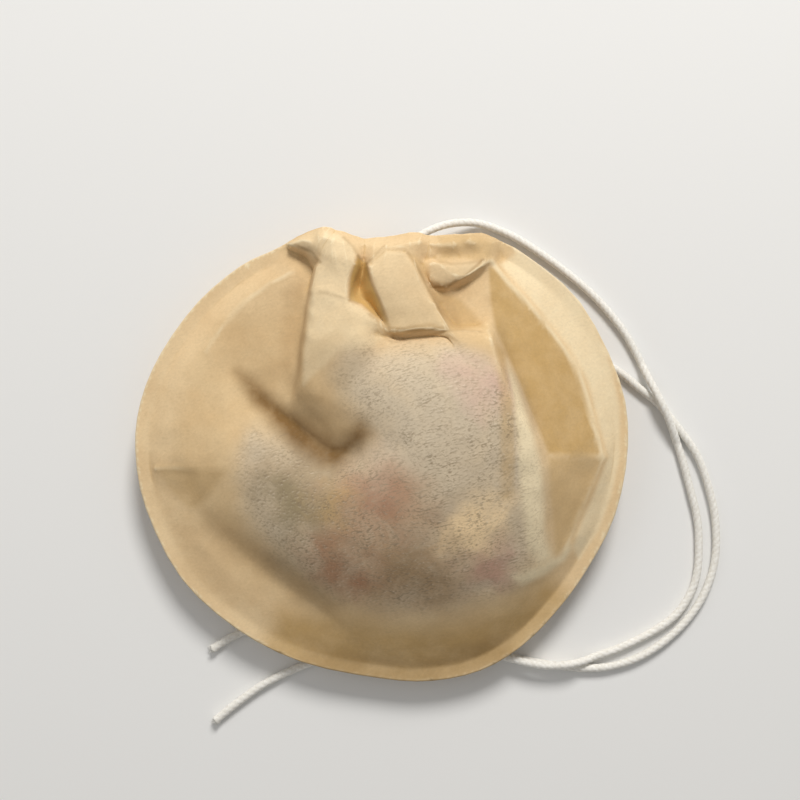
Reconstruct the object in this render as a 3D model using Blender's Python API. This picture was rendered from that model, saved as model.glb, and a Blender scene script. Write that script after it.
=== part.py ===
"""Round drawstring tea bag, filled, drawn shut and lying on its back.

Two thin sheets of filter paper are sealed together round the rim. Each sheet is turned under along the
mouth as a hem, and one cotton string runs through both hems and gathers them. Both of its tails come out
at the notch in the back hem. The tails lie beside the bag and pass under its rim.

Metres, +Z up. The origin is on the resting surface, under the middle of the bag. +X is across the bag and
+Y points to the mouth.
"""

import math

import bmesh
import bpy
from mathutils import Vector
from mathutils.bvhtree import BVHTree
from mathutils.geometry import delaunay_2d_cdt

MM = 0.001

# Driving sizes
BAG_WIDTH = 78.4 * MM
BAG_HEIGHT = 72.3 * MM
BAG_THICKNESS = 21.0 * MM
PAPER_THICKNESS = 0.12 * MM
SEAL_WIDTH = 2.2 * MM
SEAL_GAP = 0.3 * MM
HEM_LEG = 3.2 * MM
HEM_CLEARANCE = 0.6 * MM
CORD_DIAMETER = 1.4 * MM
FILLING_CLEARANCE = 0.45 * MM
FLOOR_PATCH_WIDTH = 42.0 * MM
FLOOR_PATCH_HEIGHT = 36.0 * MM

# The folds below are drawn in millimetres on a bag of this width, height and thickness. Their zero lies
# this far from the middle of the bag.
DRAWN_SIZE = (78.4, 72.3, 21.0)
DRAWN_MIDDLE = (0.0, -0.35, 0.0)
BAG_SIZE = (BAG_WIDTH, BAG_HEIGHT, BAG_THICKNESS)

# Rim of the bag, from the left end of the mouth round the bottom to its right end: across, up, height
RIM = [
    (-17.5, 32.3, 6.4),
    (-22.5, 29.9, 6.3),
    (-29.2, 24.3, 6.0),
    (-35.1, 16.2, 6.0),
    (-38.4, 8.4, 5.8),
    (-39.2, 0.7, 5.8),
    (-37.6, -8.7, 5.4),
    (-32.0, -19.9, 5.0),
    (-23.2, -28.0, 4.6),
    (-13.0, -33.3, 4.4),
    (-0.2, -36.0, 4.3),
    (8.1, -36.4, 4.3),
    (15.9, -34.7, 4.4),
    (22.4, -30.8, 4.6),
    (28.0, -25.1, 4.9),
    (32.8, -18.4, 5.3),
    (37.2, -9.6, 5.8),
    (39.2, 1.7, 6.2),
    (37.8, 11.9, 6.4),
    (31.5, 24.3, 6.4),
    (23.2, 31.5, 6.4),
    (18.9, 34.0, 6.4),
]
RIM_STEPS = 3
ROUNDING_PASSES = 3
ROUNDING_FACTOR = 0.5

# How the paper goes round the string: share of spare height that bulges outward, height of the hem's
# outermost line, and place of its heel, in shares of the hem's radius
HEM_PUFF = 0.35
CROWN_HEIGHT = 0.45
HEEL_OUT = 0.85
HEEL_DROP = 0.75

# Hem stations, from left to right: the string's place (across, up, height), the paper's height over it,
# and where the pleat leaves the hem (across, up, height)
FRONT_HEM = [
    ((-9.0, 33.9, 9.1), 12.0, (-8.9, 31.2, 12.3)),
    ((-7.6, 33.5, 8.8), 12.6, (-7.4, 30.9, 13.3)),
    ((-5.8, 32.9, 8.3), 12.3, (-5.6, 30.6, 13.2)),
    ((-4.2, 32.6, 8.0), 11.2, (-4.0, 30.4, 12.4)),
    ((-2.6, 32.5, 7.9), 9.6, (-2.8, 30.2, 9.6)),
    ((-0.9, 32.3, 7.9), 10.9, (-1.2, 30.1, 11.9)),
    ((1.2, 32.1, 8.0), 12.0, (0.8, 29.9, 13.0)),
    ((3.4, 32.6, 8.1), 12.1, (3.0, 30.2, 13.2)),
    ((5.6, 33.1, 8.1), 11.6, (5.0, 30.8, 12.1)),
    ((7.4, 33.0, 8.0), 9.9, (7.0, 30.6, 10.0)),
    ((9.2, 32.8, 8.0), 10.9, (9.0, 30.8, 10.2)),
    ((11.0, 32.9, 8.3), 11.2, (11.0, 31.0, 10.2)),
    ((12.6, 33.2, 8.7), 10.3, (12.6, 31.0, 9.9)),
    ((14.0, 33.3, 9.0), 10.9, (14.2, 31.2, 10.0)),
]
# Ends of the mouth, where the string turns from one hem to the other
FRONT_LEFT_EDGE = [(-11.2, 35.3, 8.4), (-13.2, 34.5, 7.3), (-15.0, 33.5, 6.9)]
FRONT_RIGHT_EDGE = [(18.2, 34.3, 6.9), (17.1, 34.7, 7.3), (15.6, 35.1, 8.5)]

# Fold lines of the front sheet. Each is a sharp crest, trough or foot.
FRONT_FOLDS = {
    "left flap edge": [(-14.4, 33.1, 8.7), (-11.2, 32.0, 10.0), (-9.6, 30.2, 11.6)],
    "left flap shadow": [(-14.6, 32.4, 7.0), (-11.9, 31.2, 7.4), (-10.5, 29.3, 8.2)],
    "left lobe edge": [
        (-9.6, 30.2, 11.6),
        (-10.6, 25.6, 12.9),
        (-11.2, 20.9, 13.8),
        (-11.7, 16.2, 14.5),
        (-12.2, 10.2, 14.6),
    ],
    "left lobe shadow": [
        (-10.5, 29.3, 8.2),
        (-11.4, 25.4, 9.0),
        (-12.0, 20.6, 9.8),
        (-12.6, 16.0, 10.6),
        (-13.6, 9.4, 11.2),
    ],
    "left lobe hem": [
        (-12.2, 10.2, 14.6),
        (-6.2, 7.2, 15.6),
        (-1.2, 3.9, 17.4),
    ],
    "diagonal valley": [
        (-24.4, 13.1, 9.6),
        (-19.7, 9.9, 9.8),
        (-14.2, 5.4, 10.4),
        (-8.3, 0.6, 12.2),
        (-4.0, 0.8, 14.6),
    ],
    "pocket left edge": [
        (-4.0, 30.4, 12.4),
        (-3.7, 29.2, 12.7),
        (-4.7, 27.1, 13.2),
        (-5.1, 24.0, 13.8),
        (-3.2, 23.2, 13.8),
        (-1.7, 22.2, 13.8),
        (-0.1, 20.8, 13.8),
        (1.1, 19.4, 13.9),
    ],
    "pocket floor": [
        (-2.8, 30.2, 9.6),
        (-2.8, 28.7, 9.2),
        (-3.5, 26.4, 8.8),
        (-3.6, 24.6, 9.4),
        (-1.6, 23.5, 10.0),
        (0.1, 21.3, 11.8),
    ],
    "central pleat left edge": [
        (-1.2, 30.1, 11.9),
        (-1.7, 28.8, 12.6),
        (-1.5, 26.2, 13.4),
        (-0.5, 23.2, 14.0),
        (1.1, 19.4, 13.9),
    ],
    "central pleat lip": [
        (1.1, 19.4, 13.9),
        (3.0, 19.2, 14.9),
        (6.0, 19.6, 15.2),
        (10.4, 19.2, 15.2),
    ],
    "central pleat groove": [
        (-0.4, 18.6, 13.0),
        (3.0, 18.0, 12.9),
        (6.7, 18.4, 13.3),
        (10.0, 18.5, 14.3),
    ],
    "central pleat right edge": [
        (5.0, 30.8, 12.1),
        (5.3, 29.3, 13.2),
        (6.8, 25.6, 14.0),
        (8.6, 22.5, 14.5),
        (10.4, 19.2, 15.2),
    ],
    "right valley left foot": [
        (6.3, 29.4, 10.9),
        (7.8, 25.6, 11.0),
        (9.6, 22.8, 11.3),
        (11.2, 20.1, 12.0),
        (15.4, 20.0, 12.0),
    ],
    "belly top edge": [
        (10.4, 19.2, 15.2),
        (16.1, 19.2, 15.6),
    ],
    "leaf fold top": [(8.2, 29.5, 12.1), (12.0, 29.2, 12.0), (16.1, 29.8, 11.3)],
    "leaf fold edge": [(7.6, 27.2, 12.2), (10.0, 26.2, 12.5), (13.4, 27.8, 12.3), (16.1, 29.8, 11.3)],
    "leaf fold shadow": [(8.3, 26.0, 11.0), (10.3, 25.2, 10.4), (13.9, 27.0, 10.2), (16.8, 29.0, 9.8)],
    "belly right edge": [
        (16.1, 19.2, 15.6),
        (17.4, 13.9, 17.4),
        (19.2, 8.7, 18.4),
        (22.3, 2.7, 17.2),
        (23.4, -2.4, 16.4),
        (23.4, -10.0, 14.6),
        (22.8, -17.0, 12.4),
    ],
    "belly right foot": [
        (18.6, 23.4, 10.8),
        (19.1, 17.2, 12.2),
        (21.5, 12.3, 12.6),
        (23.5, 7.2, 13.0),
        (25.6, 2.4, 13.2),
    ],
    "right crease": [
        (16.8, 29.0, 9.8),
        (21.4, 25.5, 8.9),
        (25.6, 21.2, 8.4),
        (29.4, 16.7, 8.1),
        (31.8, 10.9, 8.0),
        (33.6, 4.8, 8.0),
        (34.9, -0.2, 8.4),
        (32.0, -8.5, 7.6),
        (28.2, -16.0, 7.6),
    ],
    "right tip crease": [(34.9, -0.2, 8.4), (29.5, 0.6, 11.4), (25.6, 2.4, 13.2)],
    "lower right ridge": [(18.4, -16.5, 13.6), (22.8, -17.0, 12.4), (28.2, -16.0, 7.6)],
    "left crease": [(-35.6, -1.9, 7.0), (-30.2, -1.8, 9.4), (-23.9, -1.8, 11.6)],
    "left facet": [(-34.6, -5.2, 6.2), (-29.2, -8.4, 7.2), (-23.9, -1.8, 11.6)],
    "lower left valley": [
        (-29.2, -8.4, 7.2),
        (-22.3, -14.7, 7.2),
        (-16.0, -19.7, 7.0),
        (-9.7, -24.2, 6.8),
        (-4.6, -28.3, 6.6),
    ],
    "upper left ridge": [(-14.3, 28.6, 8.4), (-20.6, 25.5, 8.3), (-25.0, 20.8, 8.3), (-28.0, 15.0, 8.6)],
}

# Places of the front sheet that round out its facets
FRONT_SWELLS = [
    (-12.4, 33.7, 10.3),
    (-10.6, 33.0, 11.3),
    (-7.2, 28.0, 13.4),
    (-7.8, 22.4, 14.8),
    (-3.4, 20.4, 15.0),
    (-8.0, 14.6, 15.6),
    (-2.6, 12.8, 17.0),
    (0.8, 28.2, 13.9),
    (2.2, 25.6, 14.6),
    (5.0, 22.4, 15.2),
    (12.4, 23.0, 11.0),
    (15.2, 24.6, 10.6),
    (11.4, 27.7, 12.9),
    (16.6, 32.8, 10.2),
    (-18.4, 21.8, 9.2),
    (-22.6, 16.8, 9.6),
    (-16.8, 14.8, 10.8),
    (-28.4, 8.4, 9.0),
    (-32.6, 8.0, 7.8),
    (-30.2, 15.2, 7.9),
    (-29.6, 2.2, 9.8),
    (-24.0, 5.6, 11.2),
    (-18.4, 2.6, 12.2),
    (-17.6, -4.2, 13.2),
    (-12.0, -3.8, 14.6),
    (-21.0, -8.6, 11.2),
    (-13.4, -12.8, 13.4),
    (-6.6, -18.6, 13.6),
    (-5.0, -5.4, 18.0),
    (2.2, 6.6, 19.8),
    (3.8, 12.6, 18.8),
    (4.2, 16.2, 15.8),
    (9.2, 16.8, 16.8),
    (13.6, 13.6, 18.6),
    (9.0, 8.8, 20.6),
    (14.4, 5.0, 20.4),
    (6.0, 1.2, 21.0),
    (0.4, -1.6, 20.0),
    (12.2, -3.4, 20.4),
    (18.6, 0.0, 18.6),
    (4.2, -8.6, 19.8),
    (-4.0, -11.6, 17.2),
    (12.6, -11.0, 18.2),
    (19.4, -8.4, 16.4),
    (3.0, -17.6, 16.2),
    (10.8, -18.8, 15.2),
    (0.8, -24.6, 10.4),
    (0.2, -29.6, 7.0),
    (8.6, -30.4, 6.8),
    (15.6, -28.8, 7.0),
    (26.4, -18.9, 7.2),
    (31.0, -12.6, 7.5),
    (19.8, 28.2, 8.4),
    (9.4, -26.2, 9.4),
    (17.6, -23.6, 9.6),
    (22.4, -24.1, 7.3),
    (21.0, 20.6, 10.4),
    (25.4, 14.8, 10.6),
    (28.0, 8.2, 11.0),
    (30.0, -5.4, 9.6),
    (26.6, -9.0, 11.6),
    (-12.4, -26.6, 6.0),
    (-20.4, -22.4, 6.0),
    (-27.6, -16.4, 6.0),
]

# Folds of the back sheet, which the bag lies on
BACK_HEM = [
    ((-9.0, 33.2, 3.5), 1.8, (-9.2, 29.8, 2.6)),
    ((-7.2, 33.0, 4.0), 2.6, (-7.2, 30.2, 3.8)),
    ((-5.4, 32.9, 4.3), 1.9, (-5.4, 29.8, 2.5)),
    ((-3.6, 32.8, 4.4), 2.9, (-3.6, 30.2, 3.9)),
    ((-1.8, 32.8, 4.5), 2.0, (-1.8, 29.8, 2.6)),
    ((0.2, 33.0, 4.5), 3.0, (0.2, 30.2, 3.9)),
    ((2.0, 33.3, 4.4), 2.6, (2.0, 30.0, 3.2)),
    ((9.4, 33.1, 4.3), 2.9, (9.4, 30.0, 3.4)),
    ((11.0, 32.9, 4.2), 2.2, (11.0, 29.8, 3.0)),
    ((12.6, 32.9, 3.9), 2.6, (12.6, 30.2, 3.8)),
    ((14.2, 33.0, 3.5), 1.8, (14.2, 29.8, 2.8)),
]
BACK_NOTCH = [(4.0, 30.0, 3.4), (7.0, 30.0, 3.4)]
BACK_LEFT_EDGE = [(-11.4, 35.0, 4.0), (-13.3, 34.3, 5.3), (-15.0, 33.2, 5.9)]
BACK_RIGHT_EDGE = [(18.2, 34.2, 5.9), (17.1, 34.5, 5.4), (15.8, 34.8, 4.2)]
BACK_FOLDS = {
    "left mouth crease": [(-9.2, 29.8, 2.6), (-12.0, 22.0, 1.7)],
    "second mouth crease": [(-5.4, 29.8, 2.5), (-6.4, 23.4, 1.4)],
    "middle mouth crease": [(-1.8, 29.8, 2.6), (-1.4, 22.5, 1.2)],
    "notch crease": [(4.0, 30.0, 3.4), (3.2, 22.0, 1.6)],
    "right mouth crease": [(14.2, 29.8, 2.8), (15.8, 22.6, 2.2)],
    "left side crease": [(-34.6, 4.0, 5.2), (-25.0, 3.2, 1.8)],
    "lower left crease": [(-27.6, -18.6, 4.2), (-20.6, -14.6, 1.8)],
    "lower crease": [(-3.6, -31.6, 4.0), (-3.0, -26.4, 2.4)],
    "lower right crease": [(25.6, -20.2, 4.2), (20.6, -16.8, 2.0)],
    "right side crease": [(34.6, 2.4, 5.2), (27.4, 1.8, 2.2)],
}
BACK_SWELLS = [
    (-11.8, 32.9, 2.0),
    (-14.6, 31.4, 4.2),
    (16.5, 32.6, 1.9),
    (-19.0, 26.8, 4.4),
    (-25.4, 21.8, 4.2),
    (-30.6, 14.4, 4.2),
    (-33.6, -4.4, 4.6),
    (-31.2, -12.0, 4.2),
    (-18.4, -26.2, 3.6),
    (-11.0, -29.6, 3.3),
    (4.8, -31.6, 3.2),
    (12.8, -30.6, 3.2),
    (19.6, -26.8, 3.4),
    (31.4, -12.8, 4.6),
    (34.6, -4.2, 5.0),
    (34.0, 9.8, 5.0),
    (29.4, 18.6, 4.8),
    (23.4, 26.0, 4.6),
    (-18.6, 18.6, 2.3),
    (-24.0, 11.0, 2.4),
    (-25.6, -5.6, 2.3),
    (-12.6, -22.0, 2.4),
    (5.6, -26.0, 2.3),
    (14.0, -23.6, 2.3),
    (26.4, -9.0, 2.6),
    (27.4, 10.0, 2.8),
    (20.6, 18.6, 2.6),
    (9.0, 23.0, 2.4),
    (-8.0, 24.0, 2.0),
    (0.6, 25.6, 2.4),
]
FLOOR_PATCH_MIDDLE = (1.5, -1.5)
FLOOR_PATCH_SIDES = 18

# Heap of dried flowers: middle of its outline and reach across, up and from the resting surface
FILLING_MIDDLE = (3.0, -4.0, 6.3)
FILLING_REACH = (27.0, 22.5, 0.0)
FILLING_RINGS = 9
FILLING_SPOKES = 30
FILLING_EDGE = 1.2 * MM
FILLING_LUMP = 0.5 * MM
LUMPS_ROUND = 3.1
LUMPS_OUTWARD = 2.3

# The string's route from its first bare end to its second: across, up and height of its middle line.
# Between its tails it follows the hem stations. A height under its own radius means that it lies flat.
FIRST_TAIL = [
    (-28.0, -32.2, 0.0),
    (-23.0, -29.4, 0.0),
    (-15.0, -27.6, 0.0),
    (-5.0, -27.6, 0.0),
    (6.0, -28.8, 0.0),
    (14.5, -30.4, 1.5),
    (17.5, -32.0, 2.25),
    (21.4, -33.4, 2.3),
    (26.2, -34.4, 2.3),
    (30.0, -34.3, 2.25),
    (32.6, -33.9, 1.7),
    (35.2, -33.2, 0.6),
    (39.4, -31.7, 0.0),
    (44.4, -29.2, 0.0),
    (48.0, -26.6, 0.0),
    (50.4, -23.2, 0.0),
    (51.6, -19.6, 0.0),
    (51.9, -15.0, 0.0),
    (51.6, -10.6, 0.0),
    (50.4, -5.6, 0.0),
    (48.8, 0.2, 0.4),
    (47.2, 4.4, 1.6),
    (45.5, 8.1, 2.25),
    (43.6, 12.0, 1.6),
    (41.9, 15.8, 0.4),
    (39.3, 20.3, 0.0),
    (35.0, 25.4, 0.0),
    (30.4, 29.4, 0.0),
    (25.2, 33.2, 0.0),
    (20.6, 35.9, 0.4),
    (15.9, 37.5, 1.2),
    (11.6, 37.4, 2.3),
    (7.8, 36.1, 3.5),
    (4.6, 34.2, 4.0),
]
LEFT_TURN = [(-11.0, 33.4, 4.2), (-11.9, 33.6, 6.3), (-11.0, 33.8, 8.4)]
RIGHT_TURN = [(16.0, 33.2, 8.3), (16.9, 33.0, 6.2), (16.0, 33.0, 4.2)]
SECOND_TAIL = [
    (7.0, 33.0, 3.5),
    (4.6, 31.9, 2.4),
    (3.2, 29.8, 1.4),
    (4.6, 27.2, 0.4),
    (8.6, 25.8, 0.0),
    (15.0, 24.2, 0.0),
    (22.0, 21.6, 0.0),
    (29.6, 18.0, 0.0),
    (37.9, 13.9, 0.0),
    (41.8, 10.9, 0.0),
    (45.4, 7.9, 0.0),
    (48.7, 3.9, 0.0),
    (51.6, -0.4, 0.0),
    (53.5, -5.6, 0.0),
    (54.6, -11.0, 0.0),
    (54.6, -17.0, 0.0),
    (53.2, -22.0, 0.0),
    (50.8, -26.2, 0.0),
    (47.0, -30.2, 0.0),
    (42.3, -33.3, 0.0),
    (37.4, -34.9, 0.0),
    (33.0, -35.2, 0.0),
    (28.6, -34.8, 0.0),
    (24.0, -34.0, 0.0),
    (19.0, -33.0, 0.0),
    (12.0, -31.8, 0.0),
    (3.0, -31.2, 0.0),
    (-5.0, -32.0, 0.0),
    (-12.2, -34.5, 0.0),
    (-18.6, -37.4, 0.0),
    (-23.6, -40.8, 0.0),
    (-27.4, -43.9, 0.0),
]
CURVE_STEPS = 12
ROUTE_COUNT = 84
TURN_LENGTH = 5.0 * MM
CORD_LIFT = 0.02 * MM

PAPER_COLOUR = (0.70, 0.52, 0.30, 1.0)
FILLING_COLOUR = (0.35, 0.18, 0.15, 1.0)
CORD_COLOUR = (0.88, 0.86, 0.82, 1.0)


def clear_scene():
    for obj in list(bpy.data.objects):
        bpy.data.objects.remove(obj, do_unlink=True)


def material(name, colour, roughness):
    made = bpy.data.materials.new(name)
    made.use_nodes = True
    shader = made.node_tree.nodes["Principled BSDF"]
    shader.inputs["Base Color"].default_value = colour
    shader.inputs["Roughness"].default_value = roughness
    shader.inputs["Metallic"].default_value = 0.0
    return made


def scaled(lengths):
    """Drawn lengths in metres, at the bag's own size."""
    return Vector(value * size / drawn for value, size, drawn in zip(lengths, BAG_SIZE, DRAWN_SIZE))


def placed(point):
    """A drawn point's place on the bag."""
    return scaled(value - middle for value, middle in zip(point, DRAWN_MIDDLE))


def smooth_curve(points, steps):
    """Points read from a smooth curve through the given ones, with so many steps from each to the next."""
    last = len(points) - 1
    found = []
    for i in range(last):
        before = points[max(i - 1, 0)]
        start, end = points[i], points[i + 1]
        after = points[min(i + 2, last)]
        for step in range(steps):
            t = step / steps
            found.append(curve_point(before, start, end, after, t))
    found.append(points[last].copy())
    return found


def curve_point(before, start, end, after, t):
    return 0.5 * (
        2.0 * start
        + (end - before) * t
        + (2.0 * before - 5.0 * start + 4.0 * end - after) * t**2
        + (3.0 * start - before - 3.0 * end + after) * t**3
    )


class Sheet:
    """A net of points: each has a place on the flat pattern and a place on the folded bag."""

    def __init__(self):
        self.flat = []
        self.folded = []
        self.lines = []
        self.known = {}

    def point(self, folded, flat=None):
        flat = Vector(flat if flat else folded[:2])
        key = (round(flat.x / (0.01 * MM)), round(flat.y / (0.01 * MM)))
        if key not in self.known:
            self.known[key] = len(self.flat)
            self.flat.append(flat)
            self.folded.append(Vector(folded))
        return self.known[key]

    def line(self, numbers):
        self.lines.extend(zip(numbers, numbers[1:]))

    def net(self, boundary):
        """The triangles between the points, each edge halved, with the fold lines marked as sharp."""
        _, _, faces, sources, _, owners = delaunay_2d_cdt(
            self.flat, self.lines, [boundary], 1, 0.0001 * MM, True
        )
        net = bmesh.new()
        corners = [net.verts.new(self.folded[source[0]]) for source in sources]
        for face, owner in zip(faces, owners):
            if owner:
                net.faces.new([corners[i] for i in face])
        bmesh.ops.recalc_face_normals(net, faces=net.faces)
        if sum(face.normal.z * face.calc_area() for face in net.faces) < 0:
            bmesh.ops.reverse_faces(net, faces=net.faces)
        folds = {frozenset((tuple(self.folded[a]), tuple(self.folded[b]))) for a, b in self.lines}
        for edge in net.edges:
            ends = frozenset(tuple(corner.co) for corner in edge.verts)
            edge.smooth = ends not in folds
        bmesh.ops.subdivide_edges(net, edges=net.edges[:], cuts=1, use_grid_fill=True)
        bmesh.ops.triangulate(net, faces=net.faces[:])
        for face in net.faces:
            face.smooth = True
        return net

    def object(self, name, boundary, paper):
        """The sheet with the paper's thickness, rounded between its fold lines."""
        net = self.net(boundary)
        loose = [
            corner.index
            for corner in net.verts
            if all(edge.smooth and not edge.is_boundary for edge in corner.link_edges)
        ]
        mesh = bpy.data.meshes.new(name)
        net.to_mesh(mesh)
        net.free()
        mesh.materials.append(paper)
        obj = bpy.data.objects.new(name, mesh)
        bpy.context.collection.objects.link(obj)
        obj.vertex_groups.new(name="loose").add(loose, 1.0, "REPLACE")
        rounding = obj.modifiers.new("rounding", "SMOOTH")
        rounding.vertex_group = "loose"
        rounding.factor = ROUNDING_FACTOR
        rounding.iterations = ROUNDING_PASSES
        body = obj.modifiers.new("paper", "SOLIDIFY")
        body.thickness = PAPER_THICKNESS
        body.offset = 0.0
        return obj


def rim_lines():
    """The rim and the inner line of the seal, both from the left end of the mouth to the right one."""
    outer = smooth_curve([placed(point) for point in RIM], RIM_STEPS)
    inner = []
    for i, point in enumerate(outer):
        ahead = outer[min(i + 1, len(outer) - 1)]
        behind = outer[max(i - 1, 0)]
        along = (ahead - behind).normalized()
        inward = Vector((-along.y, along.x, 0.0)).normalized()
        inner.append(point + inward * SEAL_WIDTH)
    return outer, inner


def add_seal(sheet, lift):
    outer, inner = rim_lines()
    shift = Vector((0.0, 0.0, lift))
    rim = [sheet.point(point + shift) for point in outer]
    sheet.line(rim)
    sheet.line([sheet.point(point + shift) for point in inner[1:-1]])
    return rim


def hem_rows(sheet, station, side):
    """The numbers of one station's points, from the pleat over the string and back under it.

    side is 1 on the front sheet, whose hem turns under, and -1 on the back sheet.
    """
    centre = placed(station[0])
    top = placed((*station[0][:2], station[1]))
    reach = CORD_DIAMETER / 2 + HEM_CLEARANCE
    spare = max(abs(top.z - centre.z) - reach, 0.0)
    crown = centre + Vector((0.0, reach + HEM_PUFF * spare, side * reach * CROWN_HEIGHT))
    heel = centre + Vector((0.0, reach * HEEL_OUT, -side * reach * HEEL_DROP))
    under = centre - Vector((0.0, 0.0, side * reach))
    leg = under - Vector((0.0, HEM_LEG, 0.0))
    numbers = [sheet.point(placed(station[2])), sheet.point(top), sheet.point(crown)]
    flat_y = crown.y
    for before, after in ((crown, heel), (heel, under), (under, leg)):
        flat_y += (after - before).length
        numbers.append(sheet.point(after, (centre.x, flat_y)))
    return numbers


def add_hem(sheet, stations, side):
    """The hem's border, from its right end to its left one, and its fold lines."""
    rows = [hem_rows(sheet, station, side) for station in stations]
    for column in zip(*rows):
        sheet.line(list(column))
    right, left = rows[-1], rows[0]
    border = [*right[3:5], *[row[5] for row in reversed(rows)], left[4], left[3]]
    return border, left, right


def add_folds(sheet, folds, swells):
    for points in folds.values():
        sheet.line([sheet.point(placed(point)) for point in points])
    for point in swells:
        sheet.point(placed(point))


def front_panel(paper):
    sheet = Sheet()
    rim = add_seal(sheet, (SEAL_GAP + PAPER_THICKNESS) / 2)
    hem, left, right = add_hem(sheet, FRONT_HEM, 1)
    left_edge = [sheet.point(placed(point)) for point in FRONT_LEFT_EDGE]
    right_edge = [sheet.point(placed(point)) for point in FRONT_RIGHT_EDGE]
    add_folds(sheet, FRONT_FOLDS, FRONT_SWELLS)
    boundary = [*rim, *right_edge, right[2], *hem, left[2], *left_edge]
    return sheet.object("front_panel", boundary, paper)


def back_hem_parts():
    left_part = [station for station in BACK_HEM if station[0][0] < BACK_NOTCH[0][0]]
    right_part = [station for station in BACK_HEM if station[0][0] > BACK_NOTCH[-1][0]]
    return left_part, right_part


def back_panel(paper):
    sheet = Sheet()
    rim = add_seal(sheet, -(SEAL_GAP + PAPER_THICKNESS) / 2)
    left_part, right_part = back_hem_parts()
    right_hem, inner_right, right = add_hem(sheet, right_part, -1)
    left_hem, left, inner_left = add_hem(sheet, left_part, -1)
    notch = [sheet.point(placed(point)) for point in reversed(BACK_NOTCH)]
    left_edge = [sheet.point(placed(point)) for point in BACK_LEFT_EDGE]
    right_edge = [sheet.point(placed(point)) for point in BACK_RIGHT_EDGE]
    add_folds(sheet, BACK_FOLDS, BACK_SWELLS)
    add_floor_patch(sheet)
    boundary = [
        *rim,
        *right_edge,
        right[2],
        *right_hem,
        inner_right[2],
        inner_right[1],
        inner_right[0],
        *notch,
        inner_left[0],
        inner_left[1],
        inner_left[2],
        *left_hem,
        left[2],
        *left_edge,
    ]
    return sheet.object("back_panel", boundary, paper)


def add_floor_patch(sheet):
    """The flat part that the bag rests on."""
    middle = placed((*FLOOR_PATCH_MIDDLE, 0.0))
    middle.z = PAPER_THICKNESS / 2
    ring = []
    for step in range(FLOOR_PATCH_SIDES):
        angle = 2 * math.pi * step / FLOOR_PATCH_SIDES
        across = math.cos(angle) * FLOOR_PATCH_WIDTH / 2
        up = math.sin(angle) * FLOOR_PATCH_HEIGHT / 2
        ring.append(sheet.point(middle + Vector((across, up, 0.0))))
    sheet.line([*ring, ring[0]])
    sheet.point(middle)


def surface_tree(obj):
    graph = bpy.context.evaluated_depsgraph_get()
    return BVHTree.FromObject(obj, graph)


def nearest_paper(tree, place, direction):
    """Height of the paper over or under a place inside the bag, at its nearest close by."""
    found = []
    for across in (-1, 0, 1):
        for up in (-1, 0, 1):
            probe = place + Vector((across, up, 0.0)) * 2 * FILLING_CLEARANCE
            hit = tree.ray_cast(probe, Vector((0.0, 0.0, direction)))
            found.append(hit[0].z if hit[0] else place.z)
    return min(found) if direction > 0 else max(found)


def filling_heights(front_tree, back_tree, place, lump, is_edge):
    """Top and bottom of the heap at a place, lumpy on top and with a low blunt edge."""
    top = nearest_paper(front_tree, place, 1) - FILLING_CLEARANCE - lump
    bottom = nearest_paper(back_tree, place, -1) + FILLING_CLEARANCE
    if is_edge:
        centre = (top + bottom) / 2
        return centre + FILLING_EDGE / 2, centre - FILLING_EDGE / 2
    return max(top, bottom + FILLING_EDGE), bottom


def tea_filling(front, back, matter):
    """The heap of dried flowers and leaves that fills the space between the sheets."""
    front_tree = surface_tree(front)
    back_tree = surface_tree(back)
    middle = placed(FILLING_MIDDLE)
    reach = scaled(FILLING_REACH)
    net = bmesh.new()
    tops, bottoms = [], []
    for ring in range(FILLING_RINGS + 1):
        tops.append([])
        bottoms.append([])
        share = ring / FILLING_RINGS
        for spoke in range(FILLING_SPOKES if ring else 1):
            angle = 2 * math.pi * spoke / FILLING_SPOKES
            place = middle + Vector((math.cos(angle) * reach.x, math.sin(angle) * reach.y, 0.0)) * share
            lump = FILLING_LUMP * (1.0 + math.sin(LUMPS_ROUND * spoke + LUMPS_OUTWARD * ring))
            top, bottom = filling_heights(front_tree, back_tree, place, lump, ring == FILLING_RINGS)
            tops[-1].append(net.verts.new((place.x, place.y, top)))
            bottoms[-1].append(net.verts.new((place.x, place.y, bottom)))
    join_rings(net, tops)
    join_rings(net, bottoms)
    for spoke in range(FILLING_SPOKES):
        after = (spoke + 1) % FILLING_SPOKES
        net.faces.new((tops[-1][spoke], tops[-1][after], bottoms[-1][after], bottoms[-1][spoke]))
    bmesh.ops.recalc_face_normals(net, faces=net.faces[:])
    mesh = bpy.data.meshes.new("tea_filling")
    net.to_mesh(mesh)
    net.free()
    mesh.materials.append(matter)
    obj = bpy.data.objects.new("tea_filling", mesh)
    bpy.context.collection.objects.link(obj)


def join_rings(net, rings):
    for spoke in range(FILLING_SPOKES):
        after = (spoke + 1) % FILLING_SPOKES
        net.faces.new((rings[0][0], rings[1][spoke], rings[1][after]))
        for inner, outer in zip(rings[1:], rings[2:]):
            net.faces.new((inner[spoke], outer[spoke], outer[after], inner[after]))


def cord_route():
    """Points of the string's whole route, from one bare end to the other, closer where it turns."""
    left_part, right_part = back_hem_parts()
    back_left = [station[0] for station in reversed(left_part)]
    front = [station[0] for station in FRONT_HEM]
    back_right = [station[0] for station in reversed(right_part)]
    chosen = FIRST_TAIL + back_left + LEFT_TURN + front + RIGHT_TURN + back_right + SECOND_TAIL
    fine = smooth_curve([placed(point) for point in chosen], CURVE_STEPS)
    for point in fine:
        point.z = max(point.z, CORD_DIAMETER / 2 + CORD_LIFT)
    return spread_points(fine, ROUTE_COUNT)


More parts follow.
